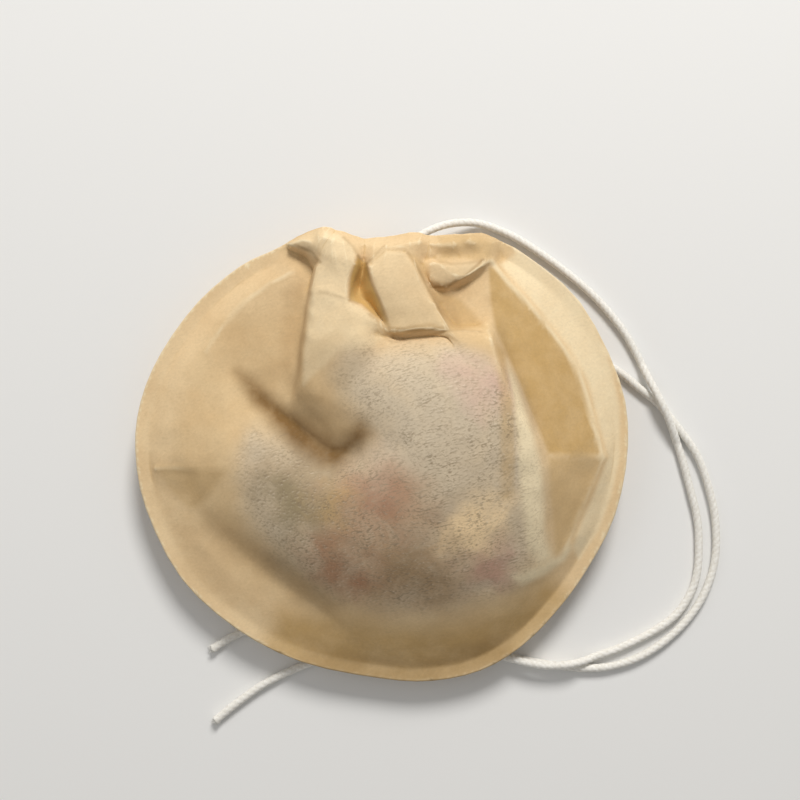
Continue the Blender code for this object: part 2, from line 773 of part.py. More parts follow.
def spread_points(fine, count):
    """So many points along a line. Each radian that it turns counts as TURN_LENGTH of line."""
    steps = [after - before for before, after in zip(fine, fine[1:])]
    turns = [0.0, *[before.angle(after) for before, after in zip(steps, steps[1:])]]
    reached = [0.0]
    for step, turn in zip(steps, turns):
        reached.append(reached[-1] + step.length + TURN_LENGTH * turn)
    found = []
    i = 0
    for number in range(count):
        wanted = reached[-1] * number / (count - 1)
        while i < len(steps) - 1 and reached[i + 1] < wanted:
            i += 1
        share = (wanted - reached[i]) / (reached[i + 1] - reached[i])
        found.append(fine[i].lerp(fine[i + 1], min(share, 1.0)))
    return found


def drawstring(cotton):
    route = cord_route()
    curve = bpy.data.curves.new("drawstring", "CURVE")
    curve.dimensions = "3D"
    curve.bevel_depth = CORD_DIAMETER / 2
    curve.bevel_resolution = 2
    curve.use_fill_caps = True
    spline = curve.splines.new("POLY")
    spline.points.add(len(route) - 1)
    for point, place in zip(spline.points, route):
        point.co = (*place, 1.0)
    curve.materials.append(cotton)
    obj = bpy.data.objects.new("drawstring", curve)
    bpy.context.collection.objects.link(obj)


def main():
    clear_scene()
    paper = material("filter_paper", PAPER_COLOUR, 0.85)
    matter = material("dried_flowers", FILLING_COLOUR, 0.9)
    cotton = material("cotton_string", CORD_COLOUR, 0.8)
    front = front_panel(paper)
    back = back_panel(paper)
    bpy.context.view_layer.update()
    tea_filling(front, back, matter)
    drawstring(cotton)


main()
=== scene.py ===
"""Looks of the round drawstring tea bag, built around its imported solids.

Metres, +Z up, in the frame of the solids: the bag lies on its back on z = 0, with its mouth towards +Y.
"""

import math
import random

import bmesh
import bpy
import numpy
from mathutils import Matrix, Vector, noise
from mathutils.bvhtree import BVHTree
from mathutils.kdtree import KDTree


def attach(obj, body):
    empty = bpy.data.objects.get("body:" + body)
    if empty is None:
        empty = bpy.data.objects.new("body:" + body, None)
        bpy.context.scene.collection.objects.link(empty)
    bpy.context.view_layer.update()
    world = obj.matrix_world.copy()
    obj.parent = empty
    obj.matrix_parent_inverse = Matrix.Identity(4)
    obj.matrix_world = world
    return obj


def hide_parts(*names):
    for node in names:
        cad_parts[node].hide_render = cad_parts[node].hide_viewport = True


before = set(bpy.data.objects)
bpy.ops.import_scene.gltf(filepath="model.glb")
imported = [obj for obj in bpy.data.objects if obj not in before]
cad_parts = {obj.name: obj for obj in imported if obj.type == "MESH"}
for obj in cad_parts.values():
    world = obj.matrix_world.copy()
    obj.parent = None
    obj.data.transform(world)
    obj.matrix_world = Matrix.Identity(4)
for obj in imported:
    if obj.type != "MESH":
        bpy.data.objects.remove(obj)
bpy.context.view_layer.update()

MM = 0.001
PAPER_THICKNESS = 0.12 * MM
SEAL_WIDTH = 2.2 * MM
CORD_DIAMETER = 1.4 * MM

# Places below are drawn in millimetres: across, up and, where there is a third number, height. Their zero
# lies this far up from the middle of the bag, as in the part's own source.
DRAWN_SHIFT = 0.35

# The photograph looks straight down at the bag.
CAMERA_PLACE = (2.95, 8.7, 190.0)
CAMERA_LENS = 52.0

# Soft studio light: place, width and power of each lamp
AMBIENT_STRENGTH = 0.32
KEY_LIGHT = ("key", (0.10, 0.51, 0.42), 0.22, 3.7, (1.0, 0.985, 0.96))
FILL_LIGHT = ("fill", (-0.45, 0.10, 0.40), 0.45, 0.35, (1.0, 1.0, 1.0))

# The string's route as its solid has it. It starts in the middle of the front hem. A height under its own
# radius means that it lies flat on the ground.
HALF_TO_LEFT = [
    (1.2, 32.1, 8.0), (-0.9, 32.3, 7.9), (-2.6, 32.5, 7.9), (-4.2, 32.6, 8.0), (-5.8, 32.9, 8.3),
    (-7.6, 33.5, 8.8), (-9.0, 33.9, 9.1), (-11.0, 33.8, 8.4), (-11.9, 33.6, 6.3), (-11.0, 33.4, 4.2),
    (-9.0, 33.2, 3.5), (-7.2, 33.0, 4.0), (-5.4, 32.9, 4.3), (-3.6, 32.8, 4.4), (-1.8, 32.8, 4.5),
    (0.2, 33.0, 4.5), (2.0, 33.3, 4.4),
]
FIRST_TAIL = [
    (4.6, 34.2, 4.0), (7.8, 36.1, 3.5), (11.6, 37.4, 2.3), (15.9, 37.5, 1.2), (20.6, 35.9, 0.4),
    (25.2, 33.2, 0.0), (30.4, 29.4, 0.0), (35.0, 25.4, 0.0), (39.3, 20.3, 0.0), (41.9, 15.8, 0.4),
    (43.6, 12.0, 1.6), (45.5, 8.1, 2.25), (47.2, 4.4, 1.6), (48.8, 0.2, 0.4), (50.4, -5.6, 0.0),
    (51.6, -10.6, 0.0), (51.9, -15.0, 0.0), (51.6, -19.6, 0.0), (50.4, -23.2, 0.0), (48.0, -26.6, 0.0),
    (44.4, -29.2, 0.0), (39.4, -31.7, 0.0), (35.2, -33.2, 0.6), (32.6, -33.9, 1.7), (30.0, -34.3, 2.25),
    (26.2, -34.4, 2.3), (21.4, -33.4, 2.3), (17.5, -32.0, 2.25), (14.5, -30.4, 1.5), (6.0, -28.8, 0.0),
    (-5.0, -27.6, 0.0), (-15.0, -27.6, 0.0), (-23.0, -29.4, 0.0), (-28.0, -32.2, 0.0),
]
HALF_TO_RIGHT = [
    (1.2, 32.1, 8.0), (3.4, 32.6, 8.1), (5.6, 33.1, 8.1), (7.4, 33.0, 8.0), (9.2, 32.8, 8.0),
    (11.0, 32.9, 8.3), (12.6, 33.2, 8.7), (14.0, 33.3, 9.0), (16.0, 33.2, 8.3), (16.9, 33.0, 6.2),
    (16.0, 33.0, 4.2), (14.2, 33.0, 3.5), (12.6, 32.9, 3.9), (11.0, 32.9, 4.2), (9.4, 33.1, 4.3),
]
SECOND_TAIL = [
    (7.0, 33.0, 3.5), (4.6, 31.9, 2.4), (3.2, 29.8, 1.4), (4.6, 27.2, 0.4), (8.6, 25.8, 0.0),
    (15.0, 24.2, 0.0), (22.0, 21.6, 0.0), (29.6, 18.0, 0.0), (37.9, 13.9, 0.0), (41.8, 10.9, 0.0),
    (45.4, 7.9, 0.0), (48.7, 3.9, 0.0), (51.6, -0.4, 0.0), (53.5, -5.6, 0.0), (54.6, -11.0, 0.0),
    (54.6, -17.0, 0.0), (53.2, -22.0, 0.0), (50.8, -26.2, 0.0), (47.0, -30.2, 0.0), (42.3, -33.3, 0.0),
    (37.4, -34.9, 0.0), (33.0, -35.2, 0.0), (28.6, -34.8, 0.0), (24.0, -34.0, 0.0), (19.0, -33.0, 0.0),
    (12.0, -31.8, 0.0), (3.0, -31.2, 0.0), (-5.0, -32.0, 0.0), (-12.2, -34.5, 0.0), (-18.6, -37.4, 0.0),
    (-23.6, -40.8, 0.0), (-27.4, -43.9, 0.0),
]
ROUTE_PARTS = 24
STRING_RING_STEP = 0.28 * MM
STRING_SIDES = 21
STRING_PLIES = 3
STRING_PITCH = 3.3 * MM
GROOVE_DEPTH = 0.13
STRING_TIGHTNESS = 0.93
END_SWELL = 0.16
TUFT_COUNT = 34
TUFT_RADIUS = 0.045 * MM
FUZZ_COUNT = 170
FUZZ_RADIUS = 0.022 * MM
FIBRE_LOWEST = 0.05 * MM
CORD_LIFT = 0.02 * MM


def placed(point):
    """A drawn place in metres, in the frame of the solids."""
    across, up, *height = point
    return Vector((across, up + DRAWN_SHIFT, *height)) * MM


def make_camera():
    camera = bpy.data.cameras.new("camera")
    camera.lens = CAMERA_LENS
    camera.clip_start = 1.0 * MM
    eye = bpy.data.objects.new("camera", camera)
    eye.location = placed(CAMERA_PLACE)
    bpy.context.scene.collection.objects.link(eye)
    bpy.context.scene.camera = eye


def add_light(name, place, width, power, colour):
    """A round lamp that shines at the bag."""
    lamp = bpy.data.lights.new(name, "AREA")
    lamp.shape = "DISK"
    lamp.size = width
    lamp.energy = power
    lamp.color = colour
    obj = bpy.data.objects.new(name, lamp)
    obj.location = place
    obj.rotation_euler = (-Vector(place)).to_track_quat("-Z", "Y").to_euler()
    bpy.context.scene.collection.objects.link(obj)


def make_studio():
    scene = bpy.context.scene
    scene.view_settings.view_transform = "Standard"
    world = bpy.data.worlds.new("studio")
    world.use_nodes = True
    background = world.node_tree.nodes["Background"]
    background.inputs["Color"].default_value = (1.0, 0.99, 0.97, 1.0)
    background.inputs["Strength"].default_value = AMBIENT_STRENGTH
    scene.world = world
    add_light(*KEY_LIGHT)
    add_light(*FILL_LIGHT)


def link(name, mesh):
    obj = bpy.data.objects.new(name, mesh)
    bpy.context.scene.collection.objects.link(obj)
    return obj


def mesh_object(name, bm, material):
    mesh = bpy.data.meshes.new(name)
    bm.to_mesh(mesh)
    bm.free()
    mesh.materials.append(material)
    mesh.shade_smooth()
    obj = link(name, mesh)
    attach(obj, "root")
    return obj


class Nodes:
    """A material's node tree, with short calls for the nodes that the materials here use."""

    def __init__(self, name):
        self.material = bpy.data.materials.new(name)
        self.material.use_nodes = True
        self.tree = self.material.node_tree
        self.shader = self.tree.nodes["Principled BSDF"]
        self.place = self.add("ShaderNodeTexCoord").outputs["Object"]

    def add(self, kind, **settings):
        node = self.tree.nodes.new(kind)
        for name, value in settings.items():
            setattr(node, name, value)
        return node

    def feed(self, socket, value):
        if isinstance(value, bpy.types.NodeSocket):
            self.tree.links.new(value, socket)
        else:
            socket.default_value = value

    def stretched(self, size, turn=0.0):
        """Places in units of the size along each axis, on axes turned about the upright one."""
        node = self.add("ShaderNodeMapping", vector_type="TEXTURE")
        self.feed(node.inputs["Vector"], self.place)
        node.inputs["Rotation"].default_value = (0.0, 0.0, math.radians(turn))
        node.inputs["Scale"].default_value = [value * MM for value in size]
        return node.outputs["Vector"]

    def noise(self, scale, detail=2.0, roughness=0.5, source=None, warp=0.0):
        node = self.add("ShaderNodeTexNoise")
        self.feed(node.inputs["Vector"], self.place if source is None else source)
        node.inputs["Scale"].default_value = scale
        node.inputs["Detail"].default_value = detail
        node.inputs["Roughness"].default_value = roughness
        node.inputs["Distortion"].default_value = warp
        return node.outputs["Fac"]

    def span(self, value, low, high, to_low=0.0, to_high=1.0, smooth=True):
        node = self.add("ShaderNodeMapRange")
        node.interpolation_type = "SMOOTHSTEP" if smooth else "LINEAR"
        self.feed(node.inputs["Value"], value)
        node.inputs["From Min"].default_value = low
        node.inputs["From Max"].default_value = high
        node.inputs["To Min"].default_value = to_low
        node.inputs["To Max"].default_value = to_high
        return node.outputs["Result"]

    def marks(self, size, turn, detail, roughness):
        """Noise in small marks of a size in millimetres that lie at a turn."""
        return self.noise(1.0, detail, roughness, self.stretched(size, turn))

    def maths(self, kind, first, second):
        node = self.add("ShaderNodeMath", operation=kind)
        self.feed(node.inputs[0], first)
        self.feed(node.inputs[1], second)
        return node.outputs[0]

    def times(self, first, *others):
        for other in others:
            first = self.maths("MULTIPLY", first, other)
        return first

    def mix(self, share, first, second, blend="MIX"):
        node = self.add("ShaderNodeMix", data_type="RGBA", blend_type=blend)
        self.feed(node.inputs["Factor"], share)
        self.feed(node.inputs["A"], first)
        self.feed(node.inputs["B"], second)
        return node.outputs["Result"]

    def mix_value(self, share, first, second):
        node = self.add("ShaderNodeMix", data_type="FLOAT")
        for socket, value in zip(node.inputs[0:1] + node.inputs[2:4], (share, first, second)):
            self.feed(socket, value)
        return node.outputs[0]

    def attribute(self, name):
        return self.add("ShaderNodeAttribute", attribute_name=name).outputs["Fac"]

    def wandering(self, scale, reach):
        """Places moved about by noise, so that spots get uneven edges."""
        noise_node = self.add("ShaderNodeTexNoise")
        self.feed(noise_node.inputs["Vector"], self.place)
        noise_node.inputs["Scale"].default_value = scale
        centred = self.add("ShaderNodeVectorMath", operation="SUBTRACT")
        self.feed(centred.inputs[0], noise_node.outputs["Color"])
        centred.inputs[1].default_value = (0.5, 0.5, 0.5)
        moved = self.add("ShaderNodeVectorMath", operation="MULTIPLY_ADD")
        self.feed(moved.inputs[0], centred.outputs["Vector"])
        moved.inputs[1].default_value = (reach, reach, reach)
        self.feed(moved.inputs[2], self.place)
        return moved.outputs["Vector"]

    def near(self, centre, inner, outer, source):
        """1 within the inner reach of a point, 0 beyond the outer one."""
        node = self.add("ShaderNodeVectorMath", operation="DISTANCE")
        self.feed(node.inputs[0], source)
        node.inputs[1].default_value = centre
        return self.span(node.outputs["Value"], inner, outer, 1.0, 0.0)

    def bump(self, height, strength, distance, normal=None):
        node = self.add("ShaderNodeBump")
        node.inputs["Strength"].default_value = strength
        node.inputs["Distance"].default_value = distance
        self.feed(node.inputs["Height"], height)
        if normal is not None:
            self.feed(node.inputs["Normal"], normal)
        return node.outputs["Normal"]


# Tones of the paper: bare and over the tea; pale cream for the seal, for paper in layers and for painted
# highlight on crests; painted warm shade down to deep folds, the tint of painted soft shade and a painted
# glow of light in the mouth's pocket
PAPER_TAN = (0.72, 0.515, 0.285, 1.0)
PAPER_LIGHT = (0.79, 0.59, 0.345, 1.0)
PAPER_BACKED = (0.585, 0.49, 0.36, 1.0)
PAPER_CREAM = (0.86, 0.72, 0.48, 1.0)
PAPER_WARM_SHADE = (0.52, 0.335, 0.13, 1.0)
SHADE_TINT = (0.33, 0.25, 0.15, 1.0)
GLOW_COLOUR = (0.68, 0.445, 0.155, 1.0)
GLOW_PLACE = (-2.0, 26.0, 9.0)
FLECK_COLOUR = (0.25, 0.185, 0.115, 1.0)
FLECK_SIZE = (0.70, 0.28, 0.38)
FLECK_TURN = 14.0
SPECK_SIZE = (0.52, 0.32, 0.33)
SPECK_TURN = -35.0
LINT_COLOUR = (0.84, 0.74, 0.58, 1.0)
LINT_TURN = 15.0
FIBRE_SIZE = (3.5, 0.28, 1.0)
FIBRE_TURNS = (-62.0, 8.0, 51.0)

# What the seal is tinted with, and the painted highlight on crests and painted warm shade in creases: mark,
# share and colour
EDGE_TINTS = (("seal", 0.08, PAPER_CREAM), ("crest_highlight", 0.70, PAPER_CREAM), ("crease_shade", 0.40, PAPER_WARM_SHADE))

# What shows through the paper: place, inner and outer reach, colour, and how strongly it covers
SHOW_THROUGH = [
    ((1.0, -15.5, 16.0), 5.0, 18.0, (0.45, 0.27, 0.14, 1.0), 0.76),
    ((-12.0, -4.0, 13.0), 3.0, 13.0, (0.28, 0.19, 0.095, 1.0), 0.55),
    ((15.0, 11.0, 18.0), 1.0, 8.0, (0.66, 0.39, 0.34, 1.0), 0.55),
    ((-7.0, -18.0, 14.0), 2.0, 9.0, (0.38, 0.16, 0.08, 1.0), 0.62),
    ((5.0, -17.5, 15.0), 2.0, 9.0, (0.29, 0.20, 0.10, 1.0), 0.50),
    ((17.0, -16.8, 13.0), 1.0, 7.0, (0.46, 0.19, 0.15, 1.0), 0.60),
    ((-1.2, -5.4, 18.0), 0.5, 11.0, (0.45, 0.21, 0.13, 1.0), 0.62),
    ((-7.5, -6.5, 16.0), 1.0, 6.0, (0.58, 0.39, 0.16, 1.0), 0.48),
    ((-14.0, -7.5, 13.0), 1.0, 7.5, (0.27, 0.22, 0.115, 1.0), 0.55),
    ((8.0, 7.0, 20.0), 2.0, 13.0, (0.56, 0.48, 0.36, 1.0), 0.45),
    ((-7.0, 13.0, 16.0), 1.0, 6.0, (0.56, 0.46, 0.31, 1.0), 0.40),
    ((3.0, 25.0, 14.0), 1.0, 5.0, (0.62, 0.50, 0.39, 1.0), 0.35),
    ((14.0, -9.3, 16.0), 2.0, 8.0, (0.97, 0.72, 0.42, 1.0), 0.90),
]


def with_tea_behind(nodes, contact):
    """Bare paper, greyer over the tea, with painted warm shade where the bag is empty behind, and the soft
    spots of colour that show through it.
    """
    cloud = nodes.span(nodes.noise(110.0, 4.0, 0.6), 0.32, 0.68)
    colour = nodes.mix(cloud, PAPER_TAN, PAPER_LIGHT)
    colour = nodes.mix(nodes.times(contact, 0.85), colour, PAPER_BACKED)
    # Painted warm shade where the bag is empty behind or the paper dips
    colour = nodes.mix(nodes.times(nodes.attribute("hollow_shade"), 0.25), colour, PAPER_WARM_SHADE)
    patches = nodes.span(nodes.noise(170.0, 5.0, 0.62, warp=0.6), 0.25, 0.6, 0.35, 1.0)
    wandering = nodes.wandering(150.0, 12.0 * MM)
    for place, inner, outer, shown, cover in SHOW_THROUGH:
        spot = nodes.near(placed(place), inner * MM, outer * MM, wandering)
        colour = nodes.mix(nodes.times(spot, patches, contact, cover), colour, shown)
    return colour


def with_folds(nodes, colour, contact):
    """Painted warm shade and paler fields with painted light, a painted glow of light in the mouth's pocket,
    loose lint and painted soft shade.
    """
    uneven = nodes.span(nodes.noise(260.0, 4.0, 0.6), 0.3, 0.7, 0.82, 1.12)
    tone = nodes.times(nodes.attribute("tone"), uneven)
    # Painted warm shade where the tone is over 0; painted light and paler layered paper where it is under 0
    colour = nodes.mix(nodes.span(tone, 0.0, 1.0, smooth=False), colour, PAPER_WARM_SHADE)
    colour = nodes.mix(nodes.span(tone, 0.0, -1.0, smooth=False), colour, PAPER_CREAM)
    # A painted glow of light through the paper, in the mouth's pocket
    glow = nodes.near(placed(GLOW_PLACE), 4.0 * MM, 8.0 * MM, nodes.place)
    colour = nodes.mix(nodes.times(glow, nodes.span(tone, 0.3, 0.95, 0.0, 0.8)), colour, GLOW_COLOUR)
    shade = nodes.times(nodes.attribute("shade"), uneven)
    lint = nodes.span(nodes.marks(FLECK_SIZE, LINT_TURN, 2.0, 0.6), 0.54, 0.76, 0.0, 0.30)
    lint = nodes.times(lint, nodes.span(shade, 0.0, 0.4, 1.0, 0.0), contact)
    colour = nodes.mix(lint, colour, LINT_COLOUR)
    return nodes.mix(shade, colour, SHADE_TINT, "MULTIPLY")


def with_flecks(nodes, colour, contact):
    """Dark flecks of tea dust, many where the tea lies against the paper and few elsewhere."""
    strokes = nodes.span(nodes.marks(FLECK_SIZE, FLECK_TURN, 1.0, 0.5), 0.45, 0.72)
    specks = nodes.span(nodes.marks(SPECK_SIZE, SPECK_TURN, 1.0, 0.5), 0.54, 0.82)
    groups = nodes.span(nodes.noise(360.0, 4.0, 0.7), 0.32, 0.64, 0.40, 1.0)
    clumps = nodes.span(nodes.noise(120.0, 2.0, 0.5), 0.35, 0.65, 0.60, 1.10)
    dust = nodes.maths("MAXIMUM", contact, 0.13)
    flecks = nodes.times(nodes.maths("MAXIMUM", strokes, specks), groups, clumps, dust, 0.72)
    return nodes.mix(flecks, colour, FLECK_COLOUR)


def fibre_light(nodes):
    """How light the paper's grain and its long fibres are."""
    light = nodes.span(nodes.noise(2200.0, 3.0, 0.65), 0.3, 0.7, 0.955, 1.04, smooth=False)
    for turn in FIBRE_TURNS:
        strand = nodes.span(nodes.marks(FIBRE_SIZE, turn, 2.0, 0.5), 0.60, 0.72)
        light = nodes.maths("ADD", light, nodes.times(strand, 0.03))
    return light


def paper_material():
    """Thin unbleached filter paper, with the dry tea showing through where it lies against it."""
    nodes = Nodes("filter_paper")
    contact = nodes.attribute("contact")
    close = nodes.span(nodes.noise(230.0, 3.0, 0.6), 0.30, 0.62, 0.55, 1.0)
    contact = nodes.times(contact, nodes.mix_value(contact, close, 1.0))
    colour = with_tea_behind(nodes, contact)
    colour = with_folds(nodes, colour, contact)
    colour = with_flecks(nodes, colour, contact)
    for name, share, tint in EDGE_TINTS:
        colour = nodes.mix(nodes.times(nodes.attribute(name), share), colour, tint)
    light = fibre_light(nodes)
    grey = nodes.add("ShaderNodeCombineColor")
    for socket in grey.inputs[:3]:
        nodes.feed(socket, light)
    colour = nodes.mix(1.0, colour, grey.outputs[0], "MULTIPLY")
    nodes.feed(nodes.shader.inputs["Base Color"], colour)
    nodes.shader.inputs["Roughness"].default_value = 0.85
    nodes.shader.inputs["Specular IOR Level"].default_value = 0.2
    normal = nodes.bump(light, 0.25, 0.05 * MM)
    normal = nodes.bump(nodes.noise(480.0, 3.0, 0.6), 0.18, 0.20 * MM, normal)
    nodes.feed(nodes.shader.inputs["Normal"], normal)
    return nodes.material


def cotton_material():
    """White cotton, with painted shade in the grooves between the plies."""
    nodes = Nodes("cotton_string")
    groove = nodes.attribute("groove")
    thread = nodes.noise(2600.0, 3.0, 0.6)
    colour = nodes.mix(nodes.span(thread, 0.3, 0.7), (0.80, 0.77, 0.70, 1.0), (0.93, 0.91, 0.86, 1.0))
    # Painted shade in the grooves between the plies
    colour = nodes.mix(nodes.times(groove, 0.30), colour, (0.55, 0.49, 0.40, 1.0))
    nodes.feed(nodes.shader.inputs["Base Color"], colour)
    nodes.shader.inputs["Roughness"].default_value = 0.85
    nodes.shader.inputs["Specular IOR Level"].default_value = 0.25
    nodes.shader.inputs["Sheen Weight"].default_value = 0.15
    nodes.feed(nodes.shader.inputs["Normal"], nodes.bump(thread, 0.5, 0.05 * MM))
    return nodes.material


def petals_material():
    """Dry petals and leaves in several colours."""
    nodes = Nodes("dried_flowers")
    cells = nodes.add("ShaderNodeTexVoronoi")
    nodes.feed(cells.inputs["Vector"], nodes.stretched((3.0, 1.9, 2.3), 20.0))
    cells.inputs["Scale"].default_value = 1.0
    ramp = nodes.add("ShaderNodeValToRGB")
    tones = [
        (0.0, (0.20, 0.07, 0.09, 1.0)),
        (0.22, (0.42, 0.14, 0.20, 1.0)),
        (0.42, (0.55, 0.36, 0.12, 1.0)),
        (0.58, (0.20, 0.19, 0.07, 1.0)),
        (0.76, (0.62, 0.46, 0.30, 1.0)),
        (1.0, (0.33, 0.12, 0.10, 1.0)),
    ]
    while len(ramp.color_ramp.elements) < len(tones):
        ramp.color_ramp.elements.new(0.5)
    for element, (place, tone) in zip(ramp.color_ramp.elements, tones):
        element.position = place
        element.color = tone
    shade = nodes.add("ShaderNodeSeparateColor")
    nodes.feed(shade.inputs[0], cells.outputs["Color"])
    nodes.feed(ramp.inputs["Fac"], shade.outputs[0])
    dry = nodes.span(nodes.noise(900.0, 4.0, 0.6), 0.3, 0.7)
    colour = nodes.mix(nodes.times(dry, 0.5), ramp.outputs["Color"], (0.12, 0.07, 0.04, 1.0))
    nodes.feed(nodes.shader.inputs["Base Color"], colour)
    nodes.shader.inputs["Roughness"].default_value = 0.9
    nodes.feed(nodes.shader.inputs["Normal"], nodes.bump(cells.outputs["Distance"], 0.8, 0.5 * MM))
    return nodes.material


def floor_material():
    nodes = Nodes("pale_floor")
    nodes.shader.inputs["Base Color"].default_value = (0.84, 0.835, 0.82, 1.0)
    nodes.shader.inputs["Roughness"].default_value = 0.9
    nodes.shader.inputs["Specular IOR Level"].default_value = 0.1
    return nodes.material


def make_floor():
    bm = bmesh.new()
    bmesh.ops.create_grid(bm, x_segments=1, y_segments=1, size=1.5)
    mesh = bpy.data.meshes.new("floor")
    bm.to_mesh(mesh)
    bm.free()
    mesh.materials.append(floor_material())
    link("floor", mesh)


def curve_point(before, start, end, after, t):
    """A place on the smooth curve from start to end, which also heeds the points beside them."""
    return 0.5 * (
        2.0 * start
        + (end - before) * t
        + (2.0 * before - 5.0 * start + 4.0 * end - after) * t**2
        + (3.0 * start - before - 3.0 * end + after) * t**3
    )


def smooth_route(points, step):
    """Evenly spaced points on a smooth curve through the route's own points, resting on the ground."""
    chosen = [placed(point) for point in points]
    last = len(chosen) - 1
    fine = []
    for i in range(last):
        corners = [chosen[max(i - 1, 0)], chosen[i], chosen[i + 1], chosen[min(i + 2, last)]]
        fine.extend(curve_point(*corners, part / ROUTE_PARTS) for part in range(ROUTE_PARTS))
    fine.append(chosen[last])
    for point in fine:
        point.z = max(point.z, CORD_DIAMETER / 2 + CORD_LIFT)
    route = [fine[0]]
    spare = 0.0
    for before, after in zip(fine, fine[1:]):
        length = (after - before).length
        while spare + length >= step:
            share = (step - spare) / length
            before = before.lerp(after, share)
            route.append(before)
            length = (after - before).length
            spare = 0.0
        spare += length
    return route


def carried_frames(route):
    """An across and an up direction at each point of the route, carried along it without twist."""
    frames = []
    across = None
    for i, point in enumerate(route):
        along = (route[min(i + 1, len(route) - 1)] - route[max(i - 1, 0)]).normalized()
        if across is None:
            across = along.orthogonal()
        across = (across - along * across.dot(along)).normalized()
        frames.append((across, along.cross(across)))
    return frames


def string_ring(bm, depth, point, across, up, turn, swell):
    """One ring of the string, with a groove between each two plies."""
    ring = []
    for side in range(STRING_SIDES):
        angle = 2 * math.pi * side / STRING_SIDES
        lobe = abs(math.cos(STRING_PLIES * (angle - turn) / 2)) ** 0.7
        radius = CORD_DIAMETER / 2 * STRING_TIGHTNESS * swell * (1.0 - GROOVE_DEPTH * (1.0 - lobe))
        corner = bm.verts.new(point + (across * math.cos(angle) + up * math.sin(angle)) * radius)
        corner.co.z = max(corner.co.z, 0.0)
        # How deep in a groove a point lies, for painted shade there
        corner[depth] = (1.0 - lobe) ** 1.5
        ring.append(corner)
    return ring


def join_rings(bm, rings):
    for before, after in zip(rings, rings[1:]):
        for side in range(len(before)):
            following = (side + 1) % len(before)
            bm.faces.new((before[side], before[following], after[following], after[side]))


def twisted_string(name, points, material, seed):
    """A cotton string of twisted plies that follows the points, from inside the hem to its bare end."""
    route = smooth_route(points, STRING_RING_STEP)
    bm = bmesh.new()
    depth = bm.verts.layers.float.new("groove")
    rings = []
    for i, (point, (across, up)) in enumerate(zip(route, carried_frames(route))):
        turn = 2 * math.pi * i * STRING_RING_STEP / STRING_PITCH
        swell = 1.0 + 0.05 * noise.noise(Vector((i * 0.11, seed, 0.0)))
        to_end = (len(route) - 1 - i) * STRING_RING_STEP
        if to_end < CORD_DIAMETER:
            swell *= 1.0 + END_SWELL * (1.0 - to_end / CORD_DIAMETER)
        rings.append(string_ring(bm, depth, point, across, up, turn, swell))
    join_rings(bm, rings)
    for ring, place in ((rings[0], route[0]), (rings[-1], route[-1])):
        middle = bm.verts.new(place)
        for side in range(STRING_SIDES):
            bm.faces.new((ring[side], ring[(side + 1) % STRING_SIDES], middle))
    bmesh.ops.recalc_face_normals(bm, faces=bm.faces[:])
    obj = mesh_object(name, bm, material)
    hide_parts("drawstring")
    return obj, route


def outward_from(along, across, draw):
    """A random direction at right angles to the string."""
    angle = draw.uniform(0.0, 2.0 * math.pi)
    return across * math.cos(angle) + along.cross(across) * math.sin(angle)


def end_tuft(bm, route, draw):
    """The fibres at the bare cut end."""
    end = route[-1]
    along = (route[-1] - route[-5]).normalized()
    across = along.orthogonal().normalized()
    for fibre in range(TUFT_COUNT):
        outward = outward_from(along, across, draw)
        start = end - along * 0.3 * MM + outward * draw.uniform(0.1, 0.62) * MM
        tip = start + along * draw.uniform(0.5, 1.25) * MM + outward * draw.uniform(-0.05, 0.35) * MM
        add_fibre(bm, start, tip, TUFT_RADIUS)


def fuzz(bm, route, draw):
    """A few fibres that stand off the string along its way."""
    for fibre in range(FUZZ_COUNT):
        i = draw.randrange(len(route) // 4, len(route) - 10)
        along = (route[i + 3] - route[i]).normalized()
        outward = outward_from(along, along.orthogonal().normalized(), draw)
        start = route[i] + outward * 0.56 * MM
        tip = start + along * draw.uniform(0.3, 0.9) * MM + outward * draw.uniform(0.10, 0.32) * MM
        add_fibre(bm, start, tip, FUZZ_RADIUS)


def loose_fibres(name, route, material, seed):
    draw = random.Random(seed)
    bm = bmesh.new()
    end_tuft(bm, route, draw)
    fuzz(bm, route, draw)
    bmesh.ops.recalc_face_normals(bm, faces=bm.faces[:])
    return mesh_object(name, bm, material)


def add_fibre(bm, start, tip, radius):
    """A thin three-sided spindle from start to tip, slightly bent, that stays above the ground."""
    start.z = max(start.z, FIBRE_LOWEST)
    tip.z = max(tip.z, FIBRE_LOWEST)
    along = (tip - start).normalized()
    across = along.orthogonal().normalized()
    up = along.cross(across)
    rings = []
    for share in (0.0, 0.5, 1.0):
        centre = start.lerp(tip, share) + up * radius * 1.5 * math.sin(math.pi * share)
        width = radius * (1.0 - 0.75 * share)
        angles = [2 * math.pi * side / 3 for side in range(3)]
        rings.append(
            [bm.verts.new(centre + (across * math.cos(a) + up * math.sin(a)) * width) for a in angles]
        )
    join_rings(bm, rings)
    bm.faces.new(rings[0])
    bm.faces.new(rings[-1])


def make_cords():
    cotton = cotton_material()
    halves = (
        ("string_first_tail", HALF_TO_LEFT + FIRST_TAIL, FIRST_TAIL[0], 3.0),
        ("string_second_tail", HALF_TO_RIGHT + SECOND_TAIL, SECOND_TAIL[0], 8.0),
    )
    for name, points, leaves, seed in halves:
        obj, route = twisted_string(name, points, cotton, seed)
        tuft = loose_fibres(name + "_fibres", route, cotton, seed)


